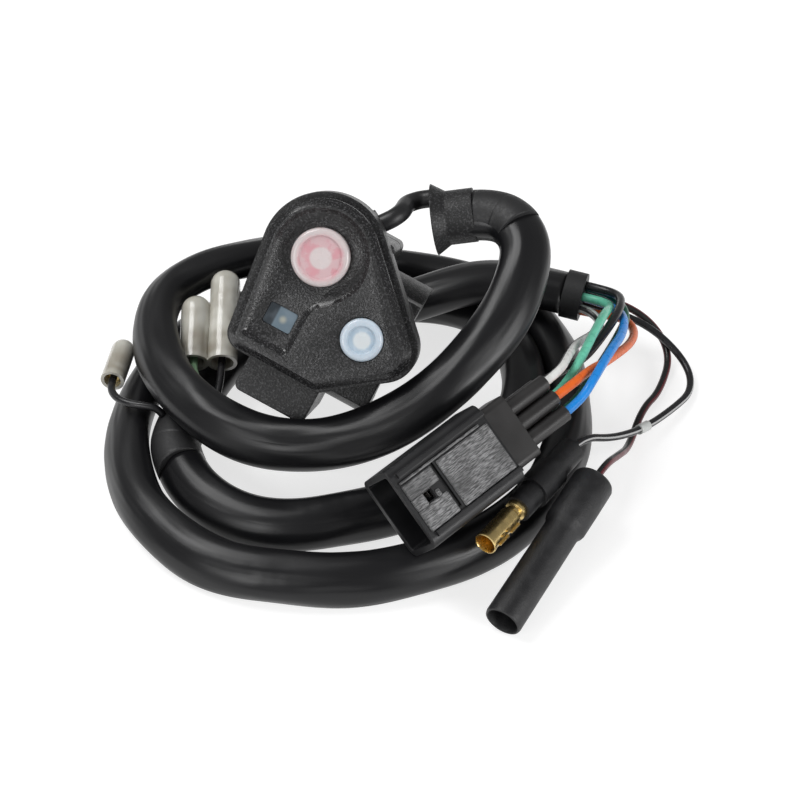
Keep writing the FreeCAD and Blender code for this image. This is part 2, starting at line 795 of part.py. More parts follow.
def group(label, solids, placement):
    """One sub-part made of several like solids."""
    whole = doc.addObject("Part::Compound", label)
    whole.Label = label
    whole.Links = solids
    whole.Placement = placement
    parts.append(whole)


def clamp_hardware():
    screws, inserts = [], []
    head_level = -s.cap_lug_depth + s.clamp_head_recess - s.clamp_head_height
    end_level = half_gap + s.insert_bite
    for side in (-1, 1):
        y = s.clamp_screw_offset * side
        head = cylinder("clamp_head", s.clamp_head_radius, s.clamp_head_height,
                        y=y, z=head_level)
        shaft = cylinder("clamp_shaft", s.clamp_screw_radius, end_level - head_level,
                         y=y, z=head_level)
        recess = doc.addObject("Part::Prism", "clamp_hex")
        recess.Polygon = 6
        bind(recess, "Circumradius", s.hex_socket_radius)
        bind(recess, "Height", s.hex_socket_depth)
        bind(recess, "Placement.Base.y", y)
        bind(recess, "Placement.Base.z", head_level)
        screws.append(cut("clamp_screw", joined("clamp_blank", [head, shaft]), recess))
        body = cylinder("insert_body", s.insert_radius, s.insert_length, y=y, z=half_gap)
        hole = cylinder("insert_hole", s.clamp_screw_radius, s.insert_length, y=y, z=half_gap)
        inserts.append(cut("clamp_insert", body, hole))
    group("clamp_screws", screws, HEAD)
    group("clamp_inserts", inserts, HEAD)


def housing_screws():
    screws = []
    head_level = s.housing_back + s.screw_head_recess - s.screw_head_height
    end_level = cover_foot + s.screw_bite
    for x, y in SCREWS:
        head = cylinder("screw_head", s.screw_head_radius, s.screw_head_height,
                        x, y, head_level)
        shaft = cylinder("screw_shaft", s.screw_radius, end_level - head_level,
                         x, y, head_level)
        slots = []
        for turned in (False, True):
            long, short = s.screw_head_radius * SLOT_SHARE, s.slot_width
            slot = doc.addObject("Part::Box", "screw_slot")
            across, along = (short, long) if turned else (long, short)
            bind(slot, "Length", across)
            bind(slot, "Width", along)
            bind(slot, "Height", s.slot_depth)
            bind(slot, "Placement.Base.x", x - across / 2)
            bind(slot, "Placement.Base.y", y - along / 2)
            bind(slot, "Placement.Base.z", head_level)
            slots.append(slot)
        cross = joined("screw_cross", slots)
        screws.append(cut("housing_screw", joined("screw_blank", [head, shaft]), cross))
    group("housing_screws", screws, HEAD)


def circuit_board():
    board = Piece("circuit_board", HEAD)
    board.pad(board.outline(head_outline(housing_inside - s.board_gap), board_level),
              s.board_thickness)
    board.pocket(board.circles(screw_circles(s.boss_foot_radius + s.button_gap), board_top))


def push_button(kind):
    """A clear cap over a coloured ring and a white stem, and the contact on the board."""
    frame = shifted(HEAD, s.of(kind, "x").value, s.of(kind, "y").value, 0)
    top = s.face_level + s.of(kind, "proud")
    ceiling = top - s.cap_top_thickness
    ring_foot = ceiling - s.ring_height
    collar_foot = ring_foot - s.collar_thickness
    flange_top = cover_ceiling - s.flange_gap
    cap_foot = flange_top - s.flange_thickness
    cap_radius, flange_radius = s.of(kind, "cap_radius"), s.of(kind, "flange_radius")
    core_radius, disc_radius = s.of(kind, "core_radius"), s.of(kind, "disc_radius")
    stem_radius = s.of(kind, "stem_radius")
    bore = core_radius + s.fit_gap
    dish = cap_radius - s.dish_rim
    Piece(kind + "_cap", frame).turn([
        (bore, cap_foot), (flange_radius, cap_foot), (flange_radius, flange_top),
        (cap_radius, flange_top), (cap_radius - s.cap_round, top - s.cap_round, s.cap_round),
        (dish, top), (dish - s.dish_depth, top - s.dish_depth), (NONE, top - s.dish_depth),
        (NONE, ceiling), (bore, ceiling)])
    inner = disc_radius + s.fit_gap
    Piece(kind + "_ring", frame).turn([
        (inner, ring_foot), (core_radius, ring_foot), (core_radius, ceiling), (inner, ceiling)])
    contact_top = board_top + s.contact_height
    well = board_top + s.contact_floor
    stem_foot = well + s.of(kind, "stroke") + s.stroke_spare
    Piece(kind + "_stem", frame).turn([
        (NONE, stem_foot), (stem_radius, stem_foot), (stem_radius, collar_foot),
        (core_radius, collar_foot), (core_radius, ring_foot), (disc_radius, ring_foot),
        (disc_radius, ceiling), (NONE, ceiling)])
    hole = stem_radius + s.button_gap
    outside = hole + s.contact_wall
    Piece(kind + "_contact", frame).turn([
        (NONE, board_top), (outside, board_top), (outside, contact_top), (hole, contact_top),
        (hole, well), (NONE, well)])


def cable_grommet():
    frame = HEAD.multiply(outlet_frame())
    seat = s.outlet_length - s.grommet_seat
    tip = seat + s.grommet_length
    grommet = Piece("cable_grommet", frame)
    shoulder = s.outlet_length + s.grommet_ring
    grommet.turn([
        (NONE, seat), (s.grommet_radius, seat), (s.grommet_radius, s.outlet_length),
        (s.grommet_radius, shoulder), (s.grommet_neck_radius, tip), (NONE, tip)])
    return frame.multVec(V(0, 0, tip.value)), frame.Rotation.multVec(V(0, 0, 1))


def lie(point):
    """A point of a route, with its height taken from the surface that the loom lies on."""
    return V(point[0], point[1], s.surface_level.value + point[2])


def bent_path(points):
    """Straight runs and tangent arcs through the points, with the arcs' radii."""
    edges, radii = [], []
    start = points[0]
    for before, corner, after in zip(points, points[1:], points[2:]):
        into, out = V(corner - before), V(after - corner)
        setback = ARC_SHARE * min(into.Length, out.Length)
        into.normalize()
        out.normalize()
        turn = into.getAngle(out)
        radius = setback / math.tan(turn / 2)
        first, last = corner - into * setback, corner + out * setback
        middle = corner + (out - into).normalize() * (radius / math.cos(turn / 2) - radius)
        edges.append(Part.LineSegment(start, first).toShape())
        edges.append(Part.Arc(first, middle, last).toShape())
        radii.append(radius)
        start = last
    edges.append(Part.LineSegment(start, points[-1]).toShape())
    return edges, radii


def sweep(edges, radius):
    """A round tube along edges that run on from each other."""
    path = Part.Wire(edges)
    start = edges[0].valueAt(edges[0].FirstParameter)
    along = edges[0].tangentAt(edges[0].FirstParameter)
    profile = Part.Wire(Part.makeCircle(radius, start, along))
    return path.makePipeShell([profile], True, False), path


def feature(label, shape):
    result = doc.addObject("Part::Feature", label)
    result.Label = label
    result.Shape = shape
    result.Placement = FreeCAD.Placement()
    parts.append(result)


def cord(label, points, diameter):
    """A cord of one diameter. Prints its length, its least radius and its volume's share."""
    edges, radii = bent_path(points)
    solid, path = sweep(edges, diameter.value / 2)
    share = solid.Volume / (math.pi * diameter.value ** 2 / 4 * path.Length)
    print("%s: %.1f long, radii %s, volume %.4f of its section times its length" % (
        label, path.Length, " ".join("%.1f" % radius for radius in radii), share))
    feature(label, solid)
    return edges, path


def print_gap_to_itself(label, path, diameter):
    """Print the least gap between turns, measured between points along the path."""
    points = path.discretize(Distance=1.0)
    apart = int(3 * diameter.value)
    least = min(one.distanceToPoint(other) for i, one in enumerate(points)
                for other in points[i + apart:])
    print("%s: least gap to itself %.2f" % (label, least - diameter.value))


def tape_over(label, edges, radius):
    """A wrap round a cord that follows the cord's own edges."""
    outside, path = sweep(edges, radius.value + s.tape_wall.value)
    inside, path = sweep(edges, radius.value)
    feature(label, outside.cut(inside))


def boot_corners():
    """The boot in its own frame: z along the sleeve, from 0 at the sleeve's end face."""
    grip = s.sleeve_diameter / 2 + s.clamp_clearance
    flare_end = -s.boot_flare_length
    return [
        (NONE, flare_end), (s.boot_large_radius, flare_end),
        (s.boot_small_radius, -s.boot_grip), (s.boot_small_radius, s.boot_grip),
        (grip, s.boot_grip), (grip, NONE), (NONE, NONE)]


def loom():
    """The sleeved loom: lead, boot, loops, joint, tail and the tapes on them."""
    sleeve_points = [lie(point) for point in SLEEVE_ROUTE]
    edges, path = cord("sleeve_loops", sleeve_points, s.sleeve_diameter)
    print_gap_to_itself("sleeve_loops", path, s.sleeve_diameter)
    along = V(sleeve_points[1] - sleeve_points[0])
    boot_frame = facing(sleeve_points[0], along, UP)
    Piece("lead_boot", boot_frame).turn(boot_corners())
    grip_end = boot_frame.multVec(V(0, 0, s.boot_grip.value))
    taped = Part.LineSegment(grip_end, edges[1].valueAt(edges[1].FirstParameter)).toShape()
    tape_over("fold_tape", [taped, edges[1]], s.sleeve_diameter / 2)

    tip, way = cable_grommet()
    flare_end = -s.boot_flare_length.value
    seats = [boot_frame.multVec(V(s.lead_seat_side.value, s.lead_seat_up.value, level))
             for level in (flare_end - LEAD_END_RUN, flare_end)]
    lead_points = [tip, tip + way * LEAD_END_RUN] + [lie(point) for point in LEAD_ROUTE] + seats
    cord("switch_lead", lead_points, s.lead_diameter)

    tail_points = [lie(point) for point in TAIL_ROUTE]
    cord("tail_sleeve", tail_points, s.sleeve_diameter)
    out, back = sleeve_points[-1] - sleeve_points[-2], tail_points[0] - tail_points[1]
    joint_points = [
        sleeve_points[-1], sleeve_points[-1] + out.normalize() * JOINT_END_RUN,
        tail_points[0] + back.normalize() * JOINT_END_RUN, tail_points[0]]
    joint_size = s.sleeve_diameter + s.tape_wall * 2
    cord("branch_tape", joint_points, joint_size)
    joint_frame = facing(tail_points[0], tail_points[0] - joint_points[-2], UP)

    tape_frame = facing(tail_points[-1], tail_points[-1] - tail_points[-2], UP)
    tape = Piece("end_tape", tape_frame)
    tape.pad(tape.circles([(NONE, NONE, s.sleeve_diameter / 2 + s.tape_wall)]),
             s.end_tape_length)
    return joint_frame, shifted(tape_frame, 0, 0, s.end_tape_length.value)


def tower_places():
    """Column, row and place of each of the plug's six wire towers."""
    return [(column, row, s.tower_pitch * column, s.tower_row_half * row)
            for row in (1, -1) for column in (1, 0, -1)]


def plug():
    """The six-way plug, in its own frame: z from its mouth to its wires, y up."""
    frame = facing(lie(PLUG_MOUTH), V(*PLUG_WAY), V(*PLUG_TOP))
    shell = Piece("plug_shell", frame)
    shell.pad(shell.outline(middle_box(s.plug_width, s.plug_height, s.plug_corner)),
              s.plug_length)
    rail_low = s.plug_height / 2 - s.plug_wall / 2
    rail_high = s.plug_height / 2 + s.rail_height
    rail_far = s.plug_width / 2 - s.rail_inset
    for side in (-1, 1):
        ends = [rail_far * side, (rail_far - s.rail_width) * side]
        left, right = ends if side < 0 else reversed(ends)
        shell.pad(shell.outline(box_corners(left, right, rail_low, rail_high), s.rail_setback),
                  s.plug_length - s.rail_setback)
    inside = middle_box(s.plug_width - s.plug_wall * 2, s.plug_height - s.plug_wall * 2,
                        s.plug_corner - s.plug_wall)
    shell.pocket(shell.outline(inside), s.plug_mouth_depth, forwards=True)
    slot = box_corners(-s.latch_slot_reach, s.latch_slot_reach,
                       s.plug_height / 2 - s.latch_slot_depth, rail_high)
    shell.pocket(shell.outline(slot, s.latch_slot_from_mouth), s.latch_slot_width,
                 forwards=True)
    window = box_corners(-s.latch_hole_side / 2, s.latch_hole_side / 2,
                         s.plug_height / 2 - s.plug_wall * 1.5, rail_high)
    shell.pocket(shell.outline(window, s.latch_hole_from_mouth), s.latch_hole_side,
                 forwards=True)

    core = Piece("plug_core", frame)
    core.pad(core.outline(middle_box(s.block_width, s.block_height, s.block_corner),
                          s.plug_length), s.block_length)
    towers = [(x, y, s.tower_radius) for column, row, x, y in tower_places()]
    for tower in towers:
        core.pad(core.circles([tower], s.plug_length + s.block_length), s.tower_length)

    pins = []
    for column, row, x, y in tower_places():
        pin = doc.addObject("Part::Box", "pin")
        bind(pin, "Length", s.pin_width)
        bind(pin, "Width", s.pin_thickness)
        bind(pin, "Height", s.pin_length)
        bind(pin, "Placement.Base.x", x - s.pin_width / 2)
        bind(pin, "Placement.Base.y", y - s.pin_thickness / 2)
        bind(pin, "Placement.Base.z", s.plug_mouth_depth - s.pin_length)
        pins.append(pin)
    group("plug_pins", pins, frame)
    return frame


def plug_wires(plug_frame, tape_frame):
    wire_end = s.plug_length + s.block_length + s.tower_length
    for name, (tower, place, route) in WIRE_ROUTES.items():
        column, row = tower
        front, up = place
        end = V(s.tower_pitch.value * column, s.tower_row_half.value * row, wire_end.value)
        points = [tape_frame.multVec(V(-front, up, 0)),
                  tape_frame.multVec(V(-front, up, EXIT_RUN))]
        points += [lie(point) for point in route]
        points += [plug_frame.multVec(end + UP * ENTRY_RUN), plug_frame.multVec(end)]
        cord(name, points, s.wire_diameter)


def short_bullet():
    """A brass socket in a stepped boot. Returns the frame of the wire's end."""
    frame = facing(lie(SHORT_BULLET_MOUTH), V(*SHORT_BULLET_WAY), UP)
    socket_end = s.socket_shown + s.socket_hidden
    socket = Piece("bullet_socket", frame)
    socket.turn([
        (s.socket_bore_radius, NONE), (s.socket_radius, NONE), (s.socket_radius, socket_end),
        (NONE, socket_end), (NONE, s.socket_bore_depth),
        (s.socket_bore_radius, s.socket_bore_depth)])
    slit = box_corners(-s.socket_slit / 2, s.socket_slit / 2, NONE, s.socket_radius * 2)
    socket.pocket(socket.outline(slit), s.socket_slit_length, forwards=True)
    grip = s.socket_radius + s.clamp_clearance
    front = s.socket_shown + s.boot_front_length
    middle = front + s.boot_middle_length
    rear = middle + s.boot_rear_length
    Piece("bullet_boot", frame).turn([
        (grip, s.socket_shown), (s.boot_front_radius, s.socket_shown),
        (s.boot_front_radius, front), (s.boot_middle_radius, front),
        (s.boot_middle_radius, middle), (s.boot_rear_radius, middle),
        (s.boot_rear_radius, rear), (NONE, rear), (NONE, socket_end), (grip, socket_end)])
    return shifted(frame, 0, 0, rear.value)


def long_bullet():
    """A long two-step sleeve with its socket inside. Returns the frame of the wire's end."""
    frame = facing(lie(LONG_BULLET_MOUTH), V(*LONG_BULLET_WAY), UP)
    rear = s.long_front_length + s.long_rear_length
    Piece("long_bullet_sleeve", frame).turn([
        (s.long_bore_radius, NONE), (s.long_front_radius, NONE),
        (s.long_front_radius, s.long_front_length), (s.long_rear_radius, s.long_front_length),
        (s.long_rear_radius, rear), (NONE, rear), (NONE, s.long_bore_depth),
        (s.long_bore_radius, s.long_bore_depth)])
    outside = s.long_bore_radius - s.clamp_clearance
    inside = outside - s.clear_socket_wall
    end = s.long_socket_setback + s.long_socket_length
    Piece("long_bullet_socket", frame).turn([
        (inside, s.long_socket_setback), (outside, s.long_socket_setback),
        (outside, end), (inside, end)])
    return shifted(frame, 0, 0, rear.value)


def bullet_wires(tape_frame, ends):
    for name, (place, route) in BULLET_WIRE_ROUTES.items():
        front, up = place
        points = [tape_frame.multVec(V(-front, up, 0)),
                  tape_frame.multVec(V(-front, up, EXIT_RUN * 2))]
        points += [lie(point) for point in route]
        points += [ends[name].multVec(V(0, 0, ENTRY_RUN)), ends[name].Base]
        cord(name, points, s.thin_wire_diameter)


def clear_sleeves():
    """The clear insulating sleeves. Returns, for each wire, the frame that it enters."""
    pair_frame = facing(lie(CLEAR_PAIR_MOUTH), V(*CLEAR_PAIR_WAY), -UP)
    single_frame = facing(lie(CLEAR_SINGLE_MOUTH), V(*CLEAR_SINGLE_WAY), UP)
    pair = Piece("clear_pair_sleeve", pair_frame)
    sides = ((1, s.clear_long), (-1, s.clear_short))
    web = middle_box(s.clear_half_pitch * 2, s.clear_web)
    pair.pad(pair.outline(web), s.clear_short)
    for side, length in sides:
        shift = s.clear_half_pitch * side
        pair.turn(dome_corners(s.clear_radius, length), shift)
    for side, length in sides:
        bore = [(s.clear_half_pitch * side, NONE, s.clear_bore_radius)]
        pair.pocket(pair.circles(bore), length, forwards=True)
    tubes = []
    for side, length in sides:
        outside = s.clear_bore_radius - s.clamp_clearance
        x = s.clear_half_pitch * side
        body = cylinder("tube_body", outside, s.clear_socket_length, x=x,
                        z=s.clear_socket_setback)
        hole = cylinder("tube_hole", outside - s.clear_socket_wall, s.clear_socket_length, x=x,
                        z=s.clear_socket_setback)
        tubes.append(cut("tube", body, hole))
    group("clear_pair_sockets", tubes, pair_frame)
    single = Piece("clear_single_sleeve", single_frame)
    single.turn(dome_corners(s.single_radius, s.single_length))
    single.pocket(single.circles([(NONE, NONE, s.single_bore_radius)]), s.single_length,
                  forwards=True)
    outside = s.single_bore_radius - s.clamp_clearance
    end = s.single_socket_setback + s.single_socket_length
    Piece("clear_single_socket", single_frame).turn([
        (NONE, s.single_socket_setback), (outside, s.single_socket_setback), (outside, end),
        (NONE, end)])
    pitch = s.clear_half_pitch.value
    return {"wire_to_clear_long": shifted(pair_frame, pitch, 0, 0),
            "wire_to_clear_short": shifted(pair_frame, -pitch, 0, 0),
            "wire_to_clear_single": single_frame}


def dome_corners(radius, length):
    """A barrel with a closed end of half a ball, whose centre is at its length."""
    near_tip = radius / 100
    return [(NONE, NONE), (radius, NONE), (NONE + near_tip, length, radius - near_tip),
            (NONE, length + radius)]


def branch_wires(joint_frame, ends):
    setbacks = {"wire_to_clear_single": s.single_socket_setback.value}
    radius = s.sleeve_diameter.value / 2 + s.tape_wall.value
    for name, (way, before, route) in BRANCH_ROUTES.items():
        axis = joint_frame.Rotation.multVec(UP)
        out = V(*way) - axis * V(*way).dot(axis)
        out.normalize()
        root = joint_frame.multVec(V(0, 0, -before)) + out * radius
        depth = setbacks.get(name, s.clear_socket_setback.value)
        points = [root, root + out * BRANCH_EXIT_RUN] + [lie(point) for point in route]
        points += [ends[name].Base, ends[name].multVec(V(0, 0, depth))]
        cord(name, points, s.thin_wire_diameter)


front_cover()
indicator()
cover_seal()
rear_housing()
clamp_cap()
clamp_hardware()
housing_screws()
circuit_board()
push_button("stop")
push_button("mode")
joint, tape_end = loom()
plug_wires(plug(), tape_end)
bullet_wires(tape_end, {"wire_to_short_bullet": short_bullet(),
                        "wire_to_long_bullet": long_bullet()})
branch_wires(joint, clear_sleeves())
doc.recompute()

for item in doc.Objects:
    if "Invalid" in item.State or "Error" in item.State:
        raise ValueError("%s did not rebuild" % item.Label)
for part in parts:
    if part.Shape.isNull() or not part.Shape.isValid():
        raise ValueError("%s has no valid shape" % part.Label)
os.makedirs("parts", exist_ok=True)
for part in parts:
    part.Shape.exportStep("parts/%s.step" % part.Label)
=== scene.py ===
# Looks of the handlebar stop switch and its loom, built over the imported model.
# Routes, frames and sizes are in millimetres, and MM turns them into Blender's metres.
# What is in metres from the start says so. A route's height counts from the surface that
# the loom lies on, as in the model's source.

import math
import random

import bmesh
import bpy
from mathutils import Euler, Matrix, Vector


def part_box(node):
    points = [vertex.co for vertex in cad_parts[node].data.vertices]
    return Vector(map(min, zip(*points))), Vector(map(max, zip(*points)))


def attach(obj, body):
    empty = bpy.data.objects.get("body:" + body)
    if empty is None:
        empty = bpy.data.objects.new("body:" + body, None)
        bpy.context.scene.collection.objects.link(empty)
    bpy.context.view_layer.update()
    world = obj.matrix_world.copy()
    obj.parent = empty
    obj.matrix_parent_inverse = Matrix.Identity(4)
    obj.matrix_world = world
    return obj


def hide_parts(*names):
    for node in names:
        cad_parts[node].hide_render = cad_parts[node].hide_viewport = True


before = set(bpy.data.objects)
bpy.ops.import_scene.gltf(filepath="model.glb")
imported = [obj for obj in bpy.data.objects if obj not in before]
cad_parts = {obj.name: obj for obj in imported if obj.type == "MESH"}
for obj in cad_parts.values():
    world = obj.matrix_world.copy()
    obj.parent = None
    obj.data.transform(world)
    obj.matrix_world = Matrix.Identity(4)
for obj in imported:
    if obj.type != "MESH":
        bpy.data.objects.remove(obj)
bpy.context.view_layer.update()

MM = 0.001
FLOOR = -24.0
BODY = "pod_and_loom"
UP = Vector((0, 0, 1))

# The pod's own axes: x along the handlebar, y up the button face, z out of it.
HEAD = Euler([math.radians(angle) for angle in (51.6, 20.3, -20.5)]).to_matrix()
FACE_OUT = HEAD @ UP
FACE_ACROSS = HEAD @ Vector((1, 0, 0))


# Camera

PHOTO_SIDE = 800
CAMERA_PLACE = Vector((16.912, -424.953, 355.840)) * MM
CAMERA_DROP = 42.0
FOCAL_PIXELS = 2476.2
SENSOR = 36.0
NEAR_CLIP_METRES = 0.01


def add_camera():
    data = bpy.data.cameras.new("camera")
    data.sensor_width = SENSOR
    data.lens = FOCAL_PIXELS / PHOTO_SIDE * SENSOR
    data.clip_start = NEAR_CLIP_METRES
    camera = bpy.data.objects.new("camera", data)
    camera.location = CAMERA_PLACE
    camera.rotation_euler = (math.radians(90 - CAMERA_DROP), 0, 0)
    bpy.context.collection.objects.link(camera)
    bpy.context.scene.camera = camera
    bpy.context.scene.view_settings.view_transform = "Standard"


# Materials

# The span that holds nearly all values of a noise.
MOST = (0.3, 0.7)
EDGE_SAMPLES = 6
# The Mix node has sockets for each kind of data. These are the ones for colours.
MIX_FIRST, MIX_SECOND, MIX_RESULT = 6, 7, 2


class Graph:
    """Short calls that add nodes to a material and return their outputs."""

    def __init__(self, tree, shader):
        self.tree = tree
        self.shader = shader

    def node(self, kind, **settings):
        node = self.tree.nodes.new("ShaderNode" + kind)
        for name, value in settings.items():
            setattr(node, name, value)
        return node

    def feed(self, socket, value):
        if isinstance(value, bpy.types.NodeSocket):
            self.tree.links.new(value, socket)
        else:
            socket.default_value = value

    def place(self, kind="Object"):
        return self.node("TexCoord").outputs[kind]

    def split(self, vector):
        node = self.node("SeparateXYZ")
        self.feed(node.inputs[0], vector)
        return node.outputs

    def stretched(self, vector, scale):
        mapping = self.node("Mapping")
        self.feed(mapping.inputs["Vector"], vector)
        mapping.inputs["Scale"].default_value = scale
        return mapping.outputs["Vector"]

    def noise(self, vector, size, detail=2.0, roughness=0.5):
        """Noise whose spots are about size metres across."""
        node = self.node("TexNoise")
        self.feed(node.inputs["Vector"], vector)
        node.inputs["Scale"].default_value = 1 / size
        node.inputs["Detail"].default_value = detail
        node.inputs["Roughness"].default_value = roughness
        return node.outputs["Fac"]

    def math(self, operation, *values):
        node = self.node("Math", operation=operation)
        for socket, value in zip(node.inputs, values):
            self.feed(socket, value)
        return node.outputs[0]

    def vector(self, operation, *values):
        node = self.node("VectorMath", operation=operation)
        for socket, value in zip(node.inputs, values):
            self.feed(socket, value)
        number = operation in ("LENGTH", "DOT_PRODUCT")
        return node.outputs["Value"] if number else node.outputs[0]

    def range(self, value, low, high, to_low=0.0, to_high=1.0):
        node = self.node("MapRange", interpolation_type="SMOOTHSTEP")
        for socket, item in zip(node.inputs, (value, low, high, to_low, to_high)):
            self.feed(socket, item)
        return node.outputs[0]

    def mix(self, share, first, second):
        node = self.node("Mix", data_type="RGBA")
        self.feed(node.inputs["Factor"], share)
        for index, value in ((MIX_FIRST, first), (MIX_SECOND, second)):
            self.feed(node.inputs[index], (*value, 1) if isinstance(value, tuple) else value)
        return node.outputs[MIX_RESULT]

    def colour(self, value):
        self.feed(self.shader.inputs["Base Color"], value)

    def roughness(self, value):
        self.feed(self.shader.inputs["Roughness"], value)

    def bump(self, height, depth, strength=1.0, after=None):
        node = self.node("Bump")
        node.inputs["Strength"].default_value = strength
        node.inputs["Distance"].default_value = depth
        self.feed(node.inputs["Height"], height)
        if after is not None:
            self.feed(node.inputs["Normal"], after)
        self.feed(self.shader.inputs["Normal"], node.outputs["Normal"])
        return node.outputs["Normal"]

    def soft_edges(self, radius):
        """A normal that rounds the sharp edges, or None where the radius is 0."""
        if not radius:
            return None
        bevel = self.node("Bevel", samples=EDGE_SAMPLES)
        bevel.inputs["Radius"].default_value = radius
        return bevel.outputs[0]

    def from_point(self, point):
        """Offset in metres from a point of the model."""
        return self.vector("SUBTRACT", self.place(), tuple(point))

    def from_axis(self, centre, axis):
        """Distance in metres from a line."""
        square = self.vector("CROSS_PRODUCT", self.from_point(centre), tuple(axis))
        return self.vector("LENGTH", square)

    def milky(self, weight, radius, scale):
        """Light that scatters under the surface."""
        self.shader.inputs["Subsurface Weight"].default_value = weight
        self.shader.inputs["Subsurface Radius"].default_value = radius
        self.shader.inputs["Subsurface Scale"].default_value = scale


def new_material(name, colour, roughness, **sockets):
    material = bpy.data.materials.new(name)
    material.use_nodes = True
    shader = material.node_tree.nodes["Principled BSDF"]
    shader.inputs["Base Color"].default_value = (*colour, 1)
    shader.inputs["Roughness"].default_value = roughness
    for socket, value in sockets.items():
        shader.inputs[socket.replace("_", " ")].default_value = value
    return material, Graph(material.node_tree, shader)


def scaled(colour, factor, lift=0.0):
    """A colour times a factor, with a lift added to each part."""
    return tuple(factor * part + lift for part in colour)


def middle_of(node):
    """Middle of the box round a node of the model."""
    low, high = [Vector(corner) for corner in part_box(node)]
    return (low + high) / 2


GRAIN = 0.42 * MM
# How far a normal agrees with the face's direction: on the face, and on a slope beside it.
ON_FACE, ON_SLOPE = 0.97, 0.84


def grained_plastic(name, colour, roughness, depth, edge_round=0.0, face=None):
    """Moulded plastic with the fine spark-eroded grain of switchgear and softened edges, and
    painted glints: pale specks in the colour on the grain's high spots.

    Where a face direction is given, the grain is rubbed smooth on the slopes beside that face.
    """
    material, graph = new_material(name, colour, roughness)
    grain = graph.noise(graph.place(), GRAIN, 2.5, 0.6)
    cloud = graph.noise(graph.place(), 9 * MM)
    # Painted glints: the grain's high spots are made paler in the colour, standing in for its
    # sparkle.
    graph.colour(graph.mix(graph.range(grain, 0.48, 0.72), colour, scaled(colour, 6, 0.02)))
    rough = graph.range(cloud, *MOST, roughness - 0.04, roughness + 0.06)
    sparkle = graph.range(grain, 0.45, 0.7, 0.0, 0.12)
    rough = graph.math("SUBTRACT", rough, sparkle)
    if face:
        normal = graph.node("NewGeometry").outputs["Normal"]
        tilt = graph.vector("DOT_PRODUCT", normal, tuple(face))
        grain = graph.math("MULTIPLY", grain, graph.range(tilt, ON_SLOPE, ON_FACE, 0.2, 1.0))
        rough = graph.math("SUBTRACT", rough, graph.range(tilt, ON_FACE, ON_SLOPE, 0.0, 0.1))
    graph.roughness(rough)
    graph.bump(grain, depth, after=graph.soft_edges(edge_round))
    return material


def satin_plastic(name, colour, roughness, edge_round=0.0):
    """Smooth moulded plastic with faint flow clouds and a very fine texture."""
    material, graph = new_material(name, colour, roughness)
    fine = graph.noise(graph.place(), 0.25 * MM)
    cloud = graph.noise(graph.place(), 6 * MM, 3)
    graph.roughness(graph.range(cloud, 0.25, 0.75, roughness - 0.06, roughness + 0.08))
    graph.colour(graph.mix(cloud, colour, scaled(colour, 1.35)))
    graph.bump(fine, 0.02 * MM, after=graph.soft_edges(edge_round))
    return material


def soft_rubber(name, colour, roughness, grain, depth):
    """Matt rubber with a fine uneven skin and a little dust."""
    material, graph = new_material(name, colour, roughness)
    fine = graph.noise(graph.place(), grain, 3, 0.65)
    dust = graph.noise(graph.place(), 3 * MM, 4)
    graph.colour(graph.mix(graph.range(dust, 0.45, 0.75), colour, scaled(colour, 1.6, 0.004)))
    graph.roughness(graph.range(dust, *MOST, roughness - 0.06, roughness + 0.06))
    graph.bump(fine, depth)
    return material


def vinyl_sleeve(name):
    """Soft vinyl tube: satin, with long soft creases and a few patches of cross wrinkles."""
    material, graph = new_material(name, (0.006, 0.006, 0.007), 0.34, Specular_IOR_Level=0.4)
    place = graph.place("UV")
    creases = graph.noise(graph.stretched(place, (5, 26, 1)), 1.0, 2, 0.4)
    wrinkles = graph.noise(graph.stretched(place, (3, 210, 1)), 1.0, 1, 0.4)
    patches = graph.range(graph.noise(graph.stretched(place, (3, 24, 1)), 1.0, 1), 0.52, 0.72)
    folds = graph.math("MULTIPLY", wrinkles, patches)
    fine = graph.noise(graph.place(), 0.5 * MM)
    graph.roughness(graph.range(graph.noise(graph.place(), 16 * MM), *MOST, 0.3, 0.4))
    first = graph.bump(creases, 1.0 * MM)
    second = graph.bump(folds, 0.3 * MM, 0.7, first)
    graph.bump(fine, 0.012 * MM, 0.6, second)
    return material


TAPE_PITCH = 6 * MM


def wrapped_tape(name):
    """Adhesive tape wound round, each turn lapping the one before."""
    material, graph = new_material(name, (0.016, 0.016, 0.017), 0.55)
    round_it, along = graph.split(graph.place("UV"))[:2]
    turn = graph.math("ADD", graph.math("DIVIDE", along, TAPE_PITCH), round_it)
    edge = graph.range(graph.math("FRACT", turn), 0.0, 0.12)
    fine = graph.noise(graph.place(), 0.6 * MM, 3, 0.6)
    first = graph.bump(edge, 0.16 * MM)
    graph.bump(fine, 0.06 * MM, 0.8, first)
    graph.roughness(graph.range(fine, *MOST, 0.45, 0.62))
    return material


COVER_GLOSS, STRIPE_BLUR = 0.3, 0.015


def wire_cover(name, colour, stripe=None, stripe_at=0.88, stripe_half=0.03):
    """Extruded insulation, with a tracer stripe along it where one is given.

    stripe_at is the stripe's place round the wire, and stripe_half its half width, both as
    a share of a turn.
    """
    material, graph = new_material(name, colour, COVER_GLOSS)
    cloud = graph.noise(graph.place(), 1.6 * MM)
    shade = graph.mix(graph.range(cloud, *MOST), scaled(colour, 0.86), colour)
    if stripe:
        round_it = graph.split(graph.place("UV"))[0]
        off = graph.math("ABSOLUTE", graph.math("SUBTRACT", round_it, stripe_at))
        line = graph.range(off, stripe_half + STRIPE_BLUR, stripe_half)
        shade = graph.mix(line, shade, stripe)
    graph.colour(shade)
    graph.roughness(graph.range(cloud, *MOST, COVER_GLOSS - 0.05, COVER_GLOSS + 0.08))
    graph.bump(graph.noise(graph.place(), 0.3 * MM), 0.008 * MM)
    return material


